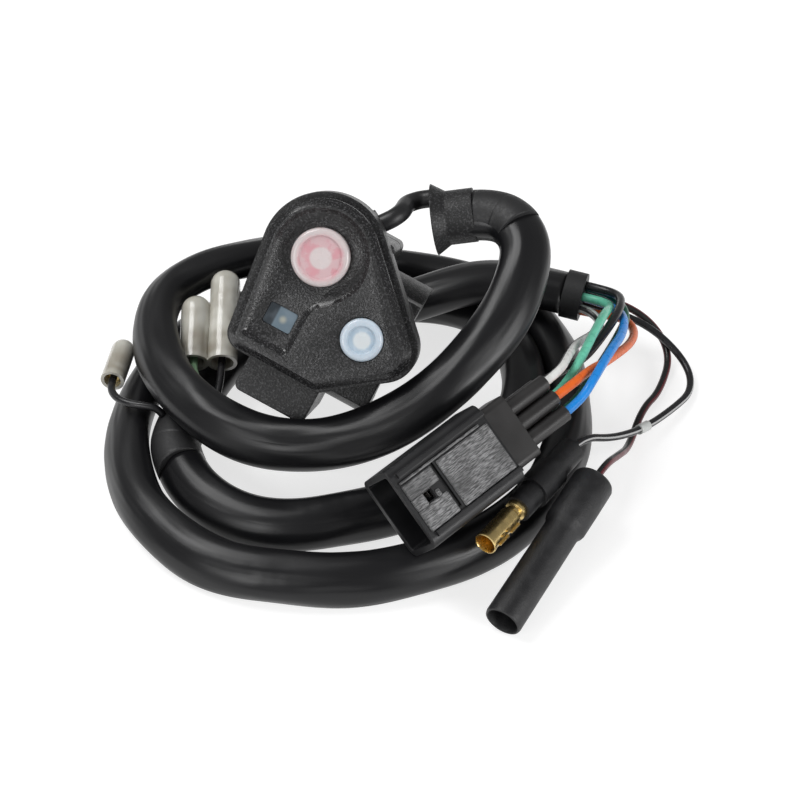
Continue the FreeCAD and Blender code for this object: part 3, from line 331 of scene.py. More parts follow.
def turned_metal(name, colour, roughness, scratch=0.35 * MM):
    """Bare metal with faint stains and fine scratches."""
    material, graph = new_material(name, colour, roughness, Metallic=1.0)
    stain = graph.noise(graph.place(), 2.2 * MM, 4, 0.6)
    fine = graph.noise(graph.place(), scratch)
    graph.colour(graph.mix(graph.range(stain, 0.35, 0.7), colour, scaled(colour, 0.72)))
    graph.roughness(graph.range(stain, *MOST, roughness - 0.06, roughness + 0.12))
    graph.bump(fine, 0.02 * MM)
    return material


def button_cap(name, node, colours, radii):
    """Translucent cap over a coloured ring: rings of colour about the button's axis."""
    middle, ring, rim = colours
    inner, outer = radii
    material, graph = new_material(name, rim, 0.24, Coat_Weight=0.3, Coat_Roughness=0.12)
    graph.milky(0.4, (1, 0.8, 0.75), 1.2 * MM)
    far = graph.from_axis(middle_of(node), FACE_OUT)
    cloud = graph.noise(graph.place(), 2.6 * MM, 3)
    faded = tuple(0.5 * a + 0.5 * b for a, b in zip(ring, rim))
    ring = graph.mix(graph.range(cloud, 0.4, 0.62), ring, faded)
    shade = graph.mix(graph.range(far, inner - 0.3 * MM, inner + 0.4 * MM), middle, ring)
    shade = graph.mix(graph.range(far, outer - 0.7 * MM, outer + 0.5 * MM), shade, rim)
    graph.colour(shade)
    graph.roughness(graph.range(cloud, *MOST, 0.2, 0.32))
    return material


# Where the glow of the lamp behind the window lies, across from the window's middle.
GLOW_ACROSS = 0.6 * MM


def window_lens(name):
    """Smoky window: clearer towards the lamp behind its right half."""
    dark, smoky = (0.02, 0.028, 0.036), (0.13, 0.18, 0.22)
    misty, glow = (0.22, 0.27, 0.32), (0.5, 0.48, 0.38)
    material, graph = new_material(name, (0.2, 0.23, 0.27), 0.22,
                                   Coat_Weight=0.4, Coat_Roughness=0.06)
    middle = middle_of("indicator_lens")
    side = graph.vector("DOT_PRODUCT", graph.from_point(middle), tuple(FACE_ACROSS))
    far = graph.from_axis(middle + FACE_ACROSS * GLOW_ACROSS, FACE_OUT)
    cloud = graph.noise(graph.place(), 3 * MM, 1)
    shade = graph.mix(graph.range(side, -1.3 * MM, -0.8 * MM), dark, smoky)
    shade = graph.mix(graph.range(cloud, 0.35, 0.7, 0.0, 0.25), shade, misty)
    graph.colour(graph.mix(graph.range(far, 1.2 * MM, 0.1 * MM, 0.0, 0.6), shade, glow))
    graph.roughness(graph.range(cloud, *MOST, 0.14, 0.2))
    return material


def milky_vinyl(name, mouth, way):
    """Thin milky vinyl, darker near its mouth where the metal in it shows through."""
    fresh, aged, metal = (0.64, 0.63, 0.57), (0.5, 0.48, 0.42), (0.36, 0.33, 0.27)
    material, graph = new_material(name, (0.8, 0.78, 0.74), 0.2,
                                   Coat_Weight=0.6, Coat_Roughness=0.08)
    graph.milky(0.35, (1, 0.95, 0.85), 1.5 * MM)
    along = graph.vector("DOT_PRODUCT", graph.from_point(mouth * MM), tuple(way))
    cloud = graph.noise(graph.place(), 5 * MM, 1)
    end, start = graph.range(along, 9 * MM, 5 * MM), graph.range(along, 0.5 * MM, 2 * MM)
    shown = graph.math("MULTIPLY", graph.math("MULTIPLY", end, start),
                       graph.range(cloud, 0.3, 0.6, 0.35, 0.9))
    pale = graph.mix(graph.range(cloud, 0.35, 0.65), fresh, aged)
    graph.colour(graph.mix(shown, pale, metal))
    graph.bump(graph.noise(graph.place(), 3 * MM, 1), 0.25 * MM)
    return material


# How far the scuffs are drawn out along their way: 1 would make them endless.
SCUFF_DRAW = 0.87


def scuffed_nylon_with_sheen(name, way):
    """Connector nylon with fine scuffs along the way that it was drawn from its mould, paled in
    patches that are partly real wear and partly painted sheen of the plug's top faces.
    """
    # The paler colour is partly worn nylon and partly painted sheen of the top faces.
    unworn, worn_and_sheen = (0.05, 0.05, 0.051), (0.3, 0.3, 0.305)
    material, graph = new_material(name, (0.009, 0.009, 0.01), 0.3)
    along = graph.vector("DOT_PRODUCT", graph.place(), tuple(way))
    back = graph.node("VectorMath", operation="SCALE")
    back.inputs[0].default_value = tuple(way)
    graph.feed(back.inputs["Scale"], graph.math("MULTIPLY", along, SCUFF_DRAW))
    squeezed = graph.vector("SUBTRACT", graph.place(), back.outputs[0])
    scuffs = graph.noise(squeezed, 0.22 * MM, 3, 0.65)
    patches = graph.noise(graph.place(), 6 * MM, 3)
    patches = graph.range(patches, 0.3, 0.6, 0.35, 1.0)
    # Pale patches: partly real wear, partly painted sheen that lightens the plug's top faces.
    wear_and_sheen = graph.math("MULTIPLY", graph.range(scuffs, 0.36, 0.66), patches)
    graph.colour(graph.mix(wear_and_sheen, unworn, worn_and_sheen))
    graph.roughness(graph.range(wear_and_sheen, 0.0, 1.0, 0.34, 0.46))
    graph.bump(scuffs, 0.03 * MM, after=graph.soft_edges(0.2 * MM))
    return material


def circuit_lacquer(name):
    """Green board lacquer with paler tracks."""
    track, green = (0.05, 0.26, 0.1), (0.02, 0.13, 0.05)
    material, graph = new_material(name, green, 0.25)
    cells = graph.node("TexVoronoi", feature="DISTANCE_TO_EDGE")
    graph.feed(cells.inputs["Vector"], graph.place())
    cells.inputs["Scale"].default_value = 1 / (3 * MM)
    graph.colour(graph.mix(graph.range(cells.outputs["Distance"], 0.05, 0.12), track, green))
    return material


def dress(material, *nodes):
    """Give nodes of the model their material."""
    for node in nodes:
        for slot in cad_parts[node].material_slots:
            slot.material = material


# Cords and what is wound round them

SLEEVE_ROUTE = [
    (30.5, 7.4, 45), (37.2, 7.2, 46.2), (43.2, 2.6, 45.8), (44.8, -5, 42.6), (38.7, -19, 35.3),
    (24, -32.8, 26.2), (5.7, -36.7, 17.3), (-11.8, -35, 15.7), (-25.4, -27.7, 16.7),
    (-37.7, -9.3, 16.8), (-39.3, 13, 16.5), (-27.9, 22.5, 18.7), (-9.3, 30.6, 16.8),
    (7.7, 36.1, 9.1), (24.1, 37, 4.9), (41.5, 31.3, 5), (53.5, 12.1, 4.8), (55.7, -8.5, 4.9),
    (54, -26.3, 5), (45.8, -44, 4.8), (31.9, -56.7, 4.8), (13.8, -64.1, 4.9),
    (-3.4, -65.1, 4.8), (-22.7, -61.5, 4.9), (-36.7, -47.7, 5), (-43.5, -31.7, 4.8),
    (-43.7, -12, 4.8), (-36.4, 9.6, 4.8), (-24.5, 21.7, 5), (-7.6, 27.1, 4.9),
    (10.8, 26.2, 4.8), (30.7, 24.6, 4.9), (42.7, 12.4, 7), (46.2, -8.2, 8.2), (40.5, -27, 4.8),
    (26.3, -39.3, 5.1), (11.5, -44.7, 5), (-9.1, -50.9, 4.9), (-27, -41.5, 5.2),
    (-30.9, -31.5, 5.6),
]
TAIL_ROUTE = [
    (-30.9, -15, 5.6), (-27.3, -2, 4.8), (-21, 8.5, 4.8), (-11, 15.2, 4.8),
    (0.5, 16.6, 6.3), (12, 16.6, 9.8), (23.5, 17.8, 13.8), (35, 20.4, 16),
    (46, 20.4, 15.4), (55, 17.8, 14.6),
]
WIRE_ROUTES = {
    # name: column and row of its place in the plug, its place in the tape's end
    # (towards the front and up), and the free points from the tape to the plug
    "wire_green": ((0, -1), (2.4, 2.2), [
        (63.2, 12.1, 16.7), (65.2, 8.5, 18.2), (62.8, -0.1, 23.7), (59.1, -11.5, 26.5),
        (55.8, -20.4, 26.6)]),
    "wire_black": ((1, -1), (-0.6, 3.2), [
        (65.7, 14.2, 17.7), (67.5, 10.3, 19.2), (66.2, 2.9, 21.3), (61.7, -6.4, 21.6),
        (56.8, -15.6, 22.7)]),
    "wire_white": ((1, 1), (3.5, -0.4), [
        (63.2, 8.2, 13.6), (60.4, -1.8, 18.6), (55.4, -12, 24.5), (53, -21, 28.5)]),
    "wire_orange": ((0, 1), (1.9, -2.5), [
        (69.4, 11.9, 11.9), (70.8, 2.1, 14.1), (62.4, -14.9, 21.9), (58.4, -21.5, 25.7)]),
    "wire_blue": ((-1, 1), (-0.4, -0.4), [
        (64.7, 14, 14.1), (67.8, 5.7, 18.2), (66.8, -4.5, 21.4), (62.8, -15.7, 25.6),
        (58.8, -26.2, 27.4)]),
    "wire_dark_green": ((-1, -1), (-2.2, 1.3), [
        (66.3, 15.5, 15.6), (69.1, 9.1, 15), (66.4, 0.5, 16.8), (62.2, -10.4, 18.7),
        (57.2, -21.6, 20.4)]),
}
BULLET_WIRE_ROUTES = {
    # name: its place in the tape's end and the free points on to its bullet
    "wire_to_short_bullet": ((-1.9, -3.1), [
        (75.1, 13.7, 8.1), (83.4, 7.3, 2.4), (84, -1.7, 1.6), (78.6, -9.5, 2.9),
        (71.3, -18.2, 4.9), (63.7, -25.4, 8.7)]),
    "wire_to_long_bullet": ((-3.6, -1.2), [
        (74.6, 16.4, 8.6), (80.1, 10.8, 2.3), (76.6, -1.4, 1.2), (71.8, -8.8, 2.3),
        (68.1, -20.2, 1.1), (65, -29, 7.1)]),
}
BRANCH_ROUTES = {
    # name: the way out of the joint's tape, how far before its end, and the free points
    "wire_to_clear_long": ((0.8, 0, 0.6), 4.0, [
        (-24.9, -19.5, 11.4), (-24, -17.4, 12.2), (-23.3, -12.6, 13)]),
    "wire_to_clear_short": ((0.45, 0, 0.9), 1.6, [
        (-27.5, -15.6, 13.5), (-27.7, -13.6, 14.4), (-29, -9.8, 14)]),
    "wire_to_clear_single": ((-0.6, 0, 0.8), 6.0, [
        (-38.4, -19.1, 12.5), (-42.6, -18.4, 12.5), (-46, -16, 12), (-47.7, -12.6, 11.6)]),
}
BLACK = (0.012, 0.012, 0.014)
WIRE_COVERS = {
    # name: its colour, and the stripe's colour, place and half width where it differs from
    # the usual
    "cover_black": (BLACK,),
    "cover_black_striped": (BLACK, (0.5, 0.5, 0.5)),
    "cover_black_turned": (BLACK, (0.5, 0.5, 0.5), 0.5),
    "cover_green": ((0.17, 0.66, 0.46),),
    "cover_white": ((0.8, 0.8, 0.78), (0.03, 0.03, 0.03), 0.12, 0.075),
    "cover_orange": ((0.88, 0.15, 0.016),),
    "cover_blue": ((0.012, 0.27, 0.8),),
    "cover_dark_green": ((0.01, 0.12, 0.07),),
    "cover_dark_red": ((0.12, 0.014, 0.02), (0.012, 0.012, 0.012), 0.14, 0.11),
    "cover_pale_green": ((0.3, 0.5, 0.3),),
    "marker_white": ((0.7, 0.72, 0.7),),
}
WIRE_LOOKS = {
    # name: its material slot and its cover
    "wire_green": ("wire_green", "cover_green"),
    "wire_black": ("wire_black", "cover_black"),
    "wire_white": ("wire_white", "cover_white"),
    "wire_orange": ("wire_orange", "cover_orange"),
    "wire_blue": ("wire_blue", "cover_blue"),
    "wire_dark_green": ("wire_dark_green", "cover_dark_green"),
    "wire_to_short_bullet": ("wire_black_striped", "cover_black_striped"),
    "wire_to_long_bullet": ("wire_dark_red", "cover_dark_red"),
    "wire_to_clear_long": ("wire_black", "cover_black"),
    "wire_to_clear_short": ("wire_green", "cover_pale_green"),
    "wire_to_clear_single": ("wire_black_striped", "cover_black_turned"),
}
SLEEVE_RADIUS, TAPE_WALL, WIRE_RADIUS, THIN_WIRE_RADIUS = 4.8, 0.8, 1.0, 0.85
END_TAPE_LENGTH, EXIT_RUN, ENTRY_RUN = 4.5, 2.2, 5.0
BRANCH_EXIT_RUN, JOINT_END_RUN = 1.7, 5.6
# The fold tape runs from the boot's grip to its own end, along the loops.
BOOT_GRIP, FOLD_TAPE_END = 3.0, 14
MARKER_START, MARKER_LENGTH, MARKER_WALL = 55.6, 3.4, 0.3
# The soft sleeve's flattened section: half width, half height, its share of these, the
# share of its folds, and the folds' wave lengths and counts round the sleeve.
SLEEVE_ACROSS, SLEEVE_UP = 5.9, 4.45
SECTION_SHARE, FOLD_SHARE = 0.985, 0.02
FOLD_WAVES, FOLD_COUNTS = (22, 70), (2, 3, 3, 4, 5)
LOOPS_SEED, TAIL_SEED = 4, 9
# A turn as the folds use it, given at two decimals. At two decimals, it keeps the folds
# where they are.
FULL_TURN = 6.28
# Sides round a tube, and the step along it.
SLEEVE_SIDES, TAPE_SIDES, WIRE_SIDES, MARKER_SIDES = 28, 40, 16, 24
SLEEVE_STEP, TAPE_STEP, FOLD_STEP, WIRE_STEP, MARKER_STEP = 1.2, 0.6, 0.5, 0.5, 0.4
ROUTE_ORDER, ROUTE_POINTS = 3, 16
NEARLY_UPRIGHT = 0.99


class Frame:
    """A place with its own axes: z forward, y up, x across. Lengths in millimetres."""

    def __init__(self, origin, forward, up):
        self.origin = Vector(origin)
        self.z = Vector(forward).normalized()
        self.y = (Vector(up) - self.z * Vector(up).dot(self.z)).normalized()
        self.x = self.y.cross(self.z)

    def point(self, x, y, z):
        return self.origin + self.x * x + self.y * y + self.z * z


def floored(point):
    """The route point with its height in the model's own frame."""
    return Vector((point[0], point[1], FLOOR + point[2]))


TAIL_END = floored(TAIL_ROUTE[-1])
TAIL_WAY = (TAIL_END - floored(TAIL_ROUTE[-2])).normalized()
TAPE_END = Frame(TAIL_END + TAIL_WAY * END_TAPE_LENGTH, TAIL_WAY, UP)
JOINT = Frame(floored(TAIL_ROUTE[0]), floored(TAIL_ROUTE[1]) - floored(TAIL_ROUTE[0]), UP)
PLUG = Frame(floored((16.8, -61.6, 20.8)), (0.7233, 0.6831, 0.1005), (0.383, -0.519, 0.765))
SHORT_BULLET = Frame(floored((34.6, -62.6, 13.3)), (0.56, 0.828, 0), UP)
LONG_BULLET = Frame(floored((38, -76.1, 4.1)), (0.503, 0.846, 0.171), UP)
CLEAR_PAIR = Frame(floored((-26.3, -5.5, 13.4)), (0, 20.5, 5.9), -UP)
CLEAR_SINGLE = Frame(floored((-47.6, -9.3, 11.4)), (0.152, 0.988, 0), UP)
PLUG_DEPTH, TOWER_PITCH, TOWER_ROW_HALF = 44.5, 3.9, 2.2
BULLETS = {
    # wire: the bullet at its end and how deep the bullet's back lies
    "wire_to_short_bullet": (SHORT_BULLET, 34.5),
    "wire_to_long_bullet": (LONG_BULLET, 41.0),
}
CLEAR_MOUTHS = {
    # wire: the clear sleeve at its end, the place across it, and how deep the wire goes in
    "wire_to_clear_long": (CLEAR_PAIR, 3.2, 4.0),
    "wire_to_clear_short": (CLEAR_PAIR, -3.2, 4.0),
    "wire_to_clear_single": (CLEAR_SINGLE, 0, 2.0),
}


def smooth_line(points):
    """Points along the smooth line of a route, in metres, as its NURBS spline gives them."""
    data = bpy.data.curves.new("route", "CURVE")
    data.dimensions = "3D"
    spline = data.splines.new("NURBS")
    spline.points.add(len(points) - 1)
    for point, place in zip(spline.points, points):
        point.co = (*(Vector(place) * MM), 1)
    spline.order_u = ROUTE_ORDER
    spline.use_endpoint_u = True
    spline.resolution_u = ROUTE_POINTS
    obj = bpy.data.objects.new("route", data)
    bpy.context.collection.objects.link(obj)
    mesh = bpy.data.meshes.new_from_object(obj)
    line = [vertex.co.copy() for vertex in mesh.vertices]
    bpy.data.objects.remove(obj)
    bpy.data.meshes.remove(mesh)
    return line


def spaced(line, step):
    """The same line with points an even step apart, the step in millimetres."""
    result = [line[0]]
    total = sum((b - a).length for a, b in zip(line, line[1:]))
    count = max(2, round(total / (step * MM)))
    run_of_one = total / count
    wanted, walked = run_of_one, 0.0
    for a, b in zip(line, line[1:]):
        run = (b - a).length
        while run and wanted <= walked + run + 1e-9 and len(result) < count:
            result.append(a.lerp(b, (wanted - walked) / run))
            wanted += run_of_one
        walked += run
    result.append(line[-1])
    return result


def part_of(line, start, end):
    """The stretch of a line from start to end, millimetres along it."""
    start, end = start * MM, end * MM
    result, walked = [], 0.0
    for a, b in zip(line, line[1:]):
        run = (b - a).length
        if run and walked <= start <= walked + run:
            result.append(a.lerp(b, (start - walked) / run))
        if result and walked + run < end:
            result.append(b)
        if run and walked <= end <= walked + run:
            result.append(a.lerp(b, (end - walked) / run))
            break
        walked += run
    return result


def finished_piece(name, mesh, material):
    """A piece of the pod or the loom from its mesh."""
    obj = bpy.data.objects.new(name, mesh)
    bpy.context.collection.objects.link(obj)
    mesh.materials.append(material)
    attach(obj, BODY)
    return obj


def lay_out(mesh, sides, walks):
    """Give a tube's mesh its UV map, across once round and along in metres."""
    layer = mesh.uv_layers.new(name="UVMap")
    for face in mesh.polygons:
        ring = [mesh.loops[i].vertex_index for i in face.loop_indices]
        seam = any(v % sides == sides - 1 for v in ring) and any(v % sides == 0 for v in ring)
        for loop, v in zip(face.loop_indices, ring):
            share = (v % sides) / sides
            if seam and share == 0:
                share = 1.0
            layer.data[loop].uv = (share, walks[v // sides])
        face.use_smooth = len(ring) == 4


def tube(name, line, section, sides, material):
    """A closed tube along a line. section(metres along, turn) gives its radius in metres."""
    vertices, faces, walks = [], [], []
    along = (line[1] - line[0]).normalized()
    side = along.orthogonal().normalized()
    if abs(along.z) < NEARLY_UPRIGHT:
        side = (UP - along * UP.dot(along)).normalized()
    walked = 0.0
    for i, place in enumerate(line):
        before, after = line[max(i - 1, 0)], line[min(i + 1, len(line) - 1)]
        along = (after - before).normalized()
        side = (side - along * side.dot(along)).normalized()
        other = along.cross(side)
        if i:
            walked += (place - line[i - 1]).length
        for j in range(sides):
            turn = 2 * math.pi * j / sides
            way = side * math.cos(turn) + other * math.sin(turn)
            vertices.append(place + way * section(walked, turn))
        walks.append(walked)
    for i in range(len(line) - 1):
        here, ahead = i * sides, (i + 1) * sides
        for j in range(sides):
            k = (j + 1) % sides
            faces.append((here + j, here + k, ahead + k, ahead + j))
    last = (len(line) - 1) * sides
    faces.append(tuple(reversed(range(sides))))
    faces.append(tuple(last + j for j in range(sides)))
    mesh = bpy.data.meshes.new(name)
    mesh.from_pydata(vertices, [], faces)
    lay_out(mesh, sides, walks)
    return finished_piece(name, mesh, material)


def round_section(radius):
    return lambda walked, turn: radius * MM


def soft_section(seed):
    """A soft sleeve's section: pressed flat a little, unevenly, with slow lengthwise folds."""
    rng = random.Random(seed)
    waves = [(rng.uniform(*FOLD_WAVES) * MM, rng.uniform(0, FULL_TURN), count,
              rng.uniform(0, FULL_TURN)) for count in FOLD_COUNTS]

    def section(walked, turn):
        swell = 0.0
        for length, start, count, lean in waves:
            swell += (math.sin(walked / length * FULL_TURN + start)
                      * math.cos(count * turn + lean))
        flat = 1 / math.hypot(math.cos(turn) / SLEEVE_UP, math.sin(turn) / SLEEVE_ACROSS)
        return flat * MM * (SECTION_SHARE + FOLD_SHARE * swell)
    return section


def add_sleeve(name, route, seed, vinyl):
    """A soft sleeve along its route. Returns its object and its line."""
    line = spaced(smooth_line([floored(point) for point in route]), SLEEVE_STEP)
    sleeve = tube(name + "_skin", line, soft_section(seed), SLEEVE_SIDES, vinyl)
    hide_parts(name)
    return sleeve, line


def add_tape(node, line, step, tape):
    """Tape wound round a sleeve along a line, in the place of a node."""
    wrap = tube(node + "_wrap", spaced(line, step), round_section(SLEEVE_RADIUS + TAPE_WALL),
                TAPE_SIDES, tape)
    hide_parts(node)


def add_tapes(sleeve_line, tape):
    """The tape over the joint of the short wires, and the tape over the loom's first fold."""
    start, end = floored(SLEEVE_ROUTE[-1]), floored(TAIL_ROUTE[0])
    out = (start - floored(SLEEVE_ROUTE[-2])).normalized() * JOINT_END_RUN
    back = (end - floored(TAIL_ROUTE[1])).normalized() * JOINT_END_RUN
    add_tape("branch_tape", smooth_line([start, start + out, end + back, end]), TAPE_STEP, tape)
    add_tape("fold_tape", part_of(sleeve_line, BOOT_GRIP, FOLD_TAPE_END), FOLD_STEP, tape)


def add_wire(name, points, radius, covers):
    """A wire with its cover, in the place of its node. Returns its object and its line."""
    slot_name, cover = WIRE_LOOKS[name]
    line = spaced(smooth_line(points), WIRE_STEP)
    obj = tube(name + "_cover", line, round_section(radius), WIRE_SIDES,
               covers[cover])
    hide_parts(name)
    return obj, line


def add_wires(covers):
    """All the wires, each from its tape to its connector. Returns object and line by name."""
    made = {}
    for name, ((column, row), (front, up), route) in WIRE_ROUTES.items():
        points = [TAPE_END.point(-front, up, 0), TAPE_END.point(-front, up, EXIT_RUN)]
        points += [floored(point) for point in route]
        x, y = TOWER_PITCH * column, TOWER_ROW_HALF * row
        points += [PLUG.point(x, y, PLUG_DEPTH + ENTRY_RUN), PLUG.point(x, y, PLUG_DEPTH)]
        made[name] = add_wire(name, points, WIRE_RADIUS, covers)
    for name, ((front, up), route) in BULLET_WIRE_ROUTES.items():
        bullet, depth = BULLETS[name]
        points = [TAPE_END.point(-front, up, 0), TAPE_END.point(-front, up, 2 * EXIT_RUN)]
        points += [floored(point) for point in route]
        points += [bullet.point(0, 0, depth + ENTRY_RUN), bullet.point(0, 0, depth)]
        made[name] = add_wire(name, points, THIN_WIRE_RADIUS, covers)
    for name, (way, before, route) in BRANCH_ROUTES.items():
        sleeve, x, depth = CLEAR_MOUTHS[name]
        out = (Vector(way) - JOINT.z * Vector(way).dot(JOINT.z)).normalized()
        root = JOINT.point(0, 0, -before) + out * (SLEEVE_RADIUS + TAPE_WALL)
        points = [root, root + out * BRANCH_EXIT_RUN] + [floored(point) for point in route]
        points += [sleeve.point(x, 0, 0), sleeve.point(x, 0, depth)]
        made[name] = add_wire(name, points, THIN_WIRE_RADIUS, covers)
    return made


def add_marker(line, white):
    """A short pale marker band on a thin wire's line."""
    stretch = part_of(line, MARKER_START, MARKER_START + MARKER_LENGTH)
    section = round_section(THIN_WIRE_RADIUS + MARKER_WALL)
    return tube("marker_band", spaced(stretch, MARKER_STEP), section, MARKER_SIDES,
                white)


# Moulded and turned pieces

# Each block's sides run low to high across, up and along the frame of its carrier.
RELIEF_PLATES = (
    ((1.4, 4.9), (6.1, 6.7), (0.9, 9.0)),
    ((-6.4, -1.4), (6.1, 6.7), (0.9, 9.0)),
    ((-1.4, 1.4), (6.1, 6.7), (0.9, 4.0)),
    ((-1.4, 0.2), (6.1, 6.7), (6.7, 7.7)),
    ((-6.4, 4.9), (6.1, 6.7), (10.6, 25.4)),
    ((5.25, 5.75), (6.1, 6.95), (0.9, 23.5)),
)
SOCKET_CLAWS = (
    ((-2.72, -2.15), (-0.75, -0.15), (1.9, 5.4)),
    ((-2.72, -2.15), (-0.75, -0.15), (6.3, 9.6)),
    ((-2.5, -1.85), (0.75, 1.25), (3.0, 4.2)),
    ((-2.5, -1.85), (0.75, 1.25), (4.8, 6.0)),
)
BLOCK_FACES = (
    (0, 1, 3, 2), (4, 6, 7, 5), (0, 4, 5, 1), (2, 3, 7, 6), (0, 2, 6, 4), (1, 5, 7, 3),
)
# Place along a turned piece and radius there, from inside its bore.
SLEEVE_PROFILE = (
    (9.0, 2.8), (3.0, 2.85), (0.5, 3.3), (0.0, 3.6), (0.15, 3.95), (0.7, 4.1), (8.0, 4.05),
    (18.0, 4.0), (25.6, 3.95), (26.6, 4.1), (27.2, 4.5), (27.9, 4.68), (34.0, 4.7),
    (40.2, 4.65), (40.8, 4.35), (41.0, 3.8), (41.0, 0.9),
)
SOCKET_PROFILE = (
    (10.0, 2.0), (0.5, 2.1), (0.0, 2.3), (0.1, 2.5), (0.5, 2.55), (1.0, 2.4), (9.6, 2.4),
    (10.1, 2.25), (10.4, 1.75), (11.3, 1.75), (11.6, 2.3), (12.5, 2.4), (17.5, 2.4),
)
TURN_SIDES = 48
BLOCK_ROUND, BLOCK_SEGMENTS = 0.16, 2
COVER_ROUND, COVER_SEGMENTS, COVER_BULGE = 0.7, 3, 0.5
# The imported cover's mesh is welded within a distance, and faces within an angle are merged.
WELD, FLAT_ANGLE = 0.002, math.radians(1)
ROUNDED_ANGLE, SHADED_ANGLE = math.radians(40), math.radians(50)


def turned_form(place, profile):
    """A closed turned body about the z axis of a place, from its bore's end to its back."""
    form = bmesh.new()
    rings = []
    turns = [2 * math.pi * i / TURN_SIDES for i in range(TURN_SIDES)]
    for along, radius in profile:
        corners = [place.point(radius * math.cos(turn), radius * math.sin(turn), along)
                   for turn in turns]
        rings.append([form.verts.new(corner * MM) for corner in corners])
    for first, second in zip(rings, rings[1:]):
        for i in range(TURN_SIDES):
            k = (i + 1) % TURN_SIDES
            form.faces.new((first[i], first[k], second[k], second[i]))
    form.faces.new(rings[0])
    form.faces.new(rings[-1])
    return form


def add_blocks(form, place, blocks):
    """Add blocks with rounded edges to a form, in the frame of a place."""
    added = []
    for across, up, along in blocks:
        corners = [form.verts.new(place.point(x, y, z) * MM)
                   for z in along for y in up for x in across]
        for face in BLOCK_FACES:
            form.faces.new([corners[i] for i in face])
        added += corners
    edges = list(dict.fromkeys(edge for corner in added for edge in corner.link_edges))
    bmesh.ops.recalc_face_normals(form, faces=form.faces)
    bmesh.ops.bevel(form, geom=edges, offset=BLOCK_ROUND * MM, segments=BLOCK_SEGMENTS,
                    affect="EDGES")


def solid_piece(name, form, material):
    """A piece of the pod or the loom from its form."""
    mesh = bpy.data.meshes.new(name)
    form.to_mesh(mesh)
    form.free()
    for face in mesh.polygons:
        face.use_smooth = True
    mesh.set_sharp_from_angle(angle=SHADED_ANGLE)
    return finished_piece(name, mesh, material)


def add_plug_relief(nylon):
    """The plates and the thin rib moulded on the plug's top, round its slot and hole."""
    form = bmesh.new()
    add_blocks(form, PLUG, RELIEF_PLATES)
    solid_piece("plug_relief", form, nylon)


def add_long_sleeve(rubber):
    """The long bullet's rubber sleeve, with a soft lip at its mouth and a thick collar."""
    form = turned_form(LONG_BULLET, SLEEVE_PROFILE)
    bmesh.ops.recalc_face_normals(form, faces=form.faces)
    piece = solid_piece("long_bullet_sleeve_skin", form, rubber)
    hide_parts("long_bullet_sleeve")
    return piece


def add_socket(brass):
    """The short bullet's brass socket, with a flared mouth, a neck and claws at its seam."""
    form = turned_form(SHORT_BULLET, SOCKET_PROFILE)
    add_blocks(form, SHORT_BULLET, SOCKET_CLAWS)
    piece = solid_piece("bullet_socket_skin", form, brass)
    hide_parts("bullet_socket")
    return piece


def add_soft_cover(material):
    """The front cover with real rounding on its outer edges, its step and its openings."""
    form = bmesh.new()
    form.from_mesh(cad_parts["front_cover"].data)
    bmesh.ops.remove_doubles(form, verts=form.verts, dist=WELD * MM)
    bmesh.ops.dissolve_limit(form, angle_limit=FLAT_ANGLE, verts=form.verts, edges=form.edges)
    sharp = [edge for edge in form.edges if len(edge.link_faces) == 2 and edge.is_convex
             and edge.calc_face_angle() > ROUNDED_ANGLE]
    bmesh.ops.bevel(form, geom=sharp, offset=COVER_ROUND * MM, segments=COVER_SEGMENTS,
                    profile=COVER_BULGE, affect="EDGES", clamp_overlap=True)
    piece = solid_piece("front_cover_skin", form, material)
    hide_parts("front_cover")


# Studio

WORLD_LIGHT = 0.28
FLOOR_HALF_METRES, FLOOR_DROP = 4.0, 0.05
FLOOR_SHADE = (0.42, 0.42, 0.42, 1)
FLOOR_GLOW = 0.72
LAMPS = (
    # name, place and side of its square in metres, power in watts
    ("overhead", (-0.36, 0.1, 0.66), 0.42, 3.2),
    ("front", (-0.4, -0.62, 0.36), 0.35, 1.7),
    ("right", (0.62, -0.46, 0.24), 0.35, 3.2),
)


def floor_white():
    """A pale floor that keeps its shadows, and is seen as the white of a studio sweep."""
    material = bpy.data.materials.new("floor_white")
    material.use_nodes = True
    tree = material.node_tree
    tree.nodes.clear()
    graph = Graph(tree, None)
    path = graph.node("LightPath").outputs
    seen = graph.math("MAXIMUM", path["Is Camera Ray"], path["Is Transmission Ray"])
    seen = graph.math("MAXIMUM", seen, path["Is Glossy Ray"])
    diffuse = graph.node("BsdfDiffuse")
    diffuse.inputs["Color"].default_value = FLOOR_SHADE
    glow = graph.node("Emission")
    graph.feed(glow.inputs["Strength"], graph.math("MULTIPLY", seen, FLOOR_GLOW))
    both = graph.node("AddShader")
    graph.feed(both.inputs[0], diffuse.outputs[0])
    graph.feed(both.inputs[1], glow.outputs[0])
    output = graph.node("OutputMaterial")
    graph.feed(output.inputs["Surface"], both.outputs[0])
    return material


def add_studio():
    world = bpy.data.worlds.new("studio")
    bpy.context.scene.world = world
    world.use_nodes = True
    background = world.node_tree.nodes["Background"]
    background.inputs["Color"].default_value = (1, 1, 1, 1)
    background.inputs["Strength"].default_value = WORLD_LIGHT

    half = FLOOR_HALF_METRES
    corners = [(-half, -half, 0), (half, -half, 0), (half, half, 0), (-half, half, 0)]
    mesh = bpy.data.meshes.new("floor")
    mesh.from_pydata(corners, [], [(0, 1, 2, 3)])
    floor = bpy.data.objects.new("floor", mesh)
    floor.location.z = (FLOOR - FLOOR_DROP) * MM
    bpy.context.collection.objects.link(floor)
    mesh.materials.append(floor_white())

    for name, place, size, power in LAMPS:
        data = bpy.data.lights.new(name, "AREA")
        data.energy = power
        data.size = size
        lamp = bpy.data.objects.new(name, data)
        lamp.location = place
        lamp.rotation_euler = Vector(place).to_track_quat("Z", "Y").to_euler()
        bpy.context.collection.objects.link(lamp)


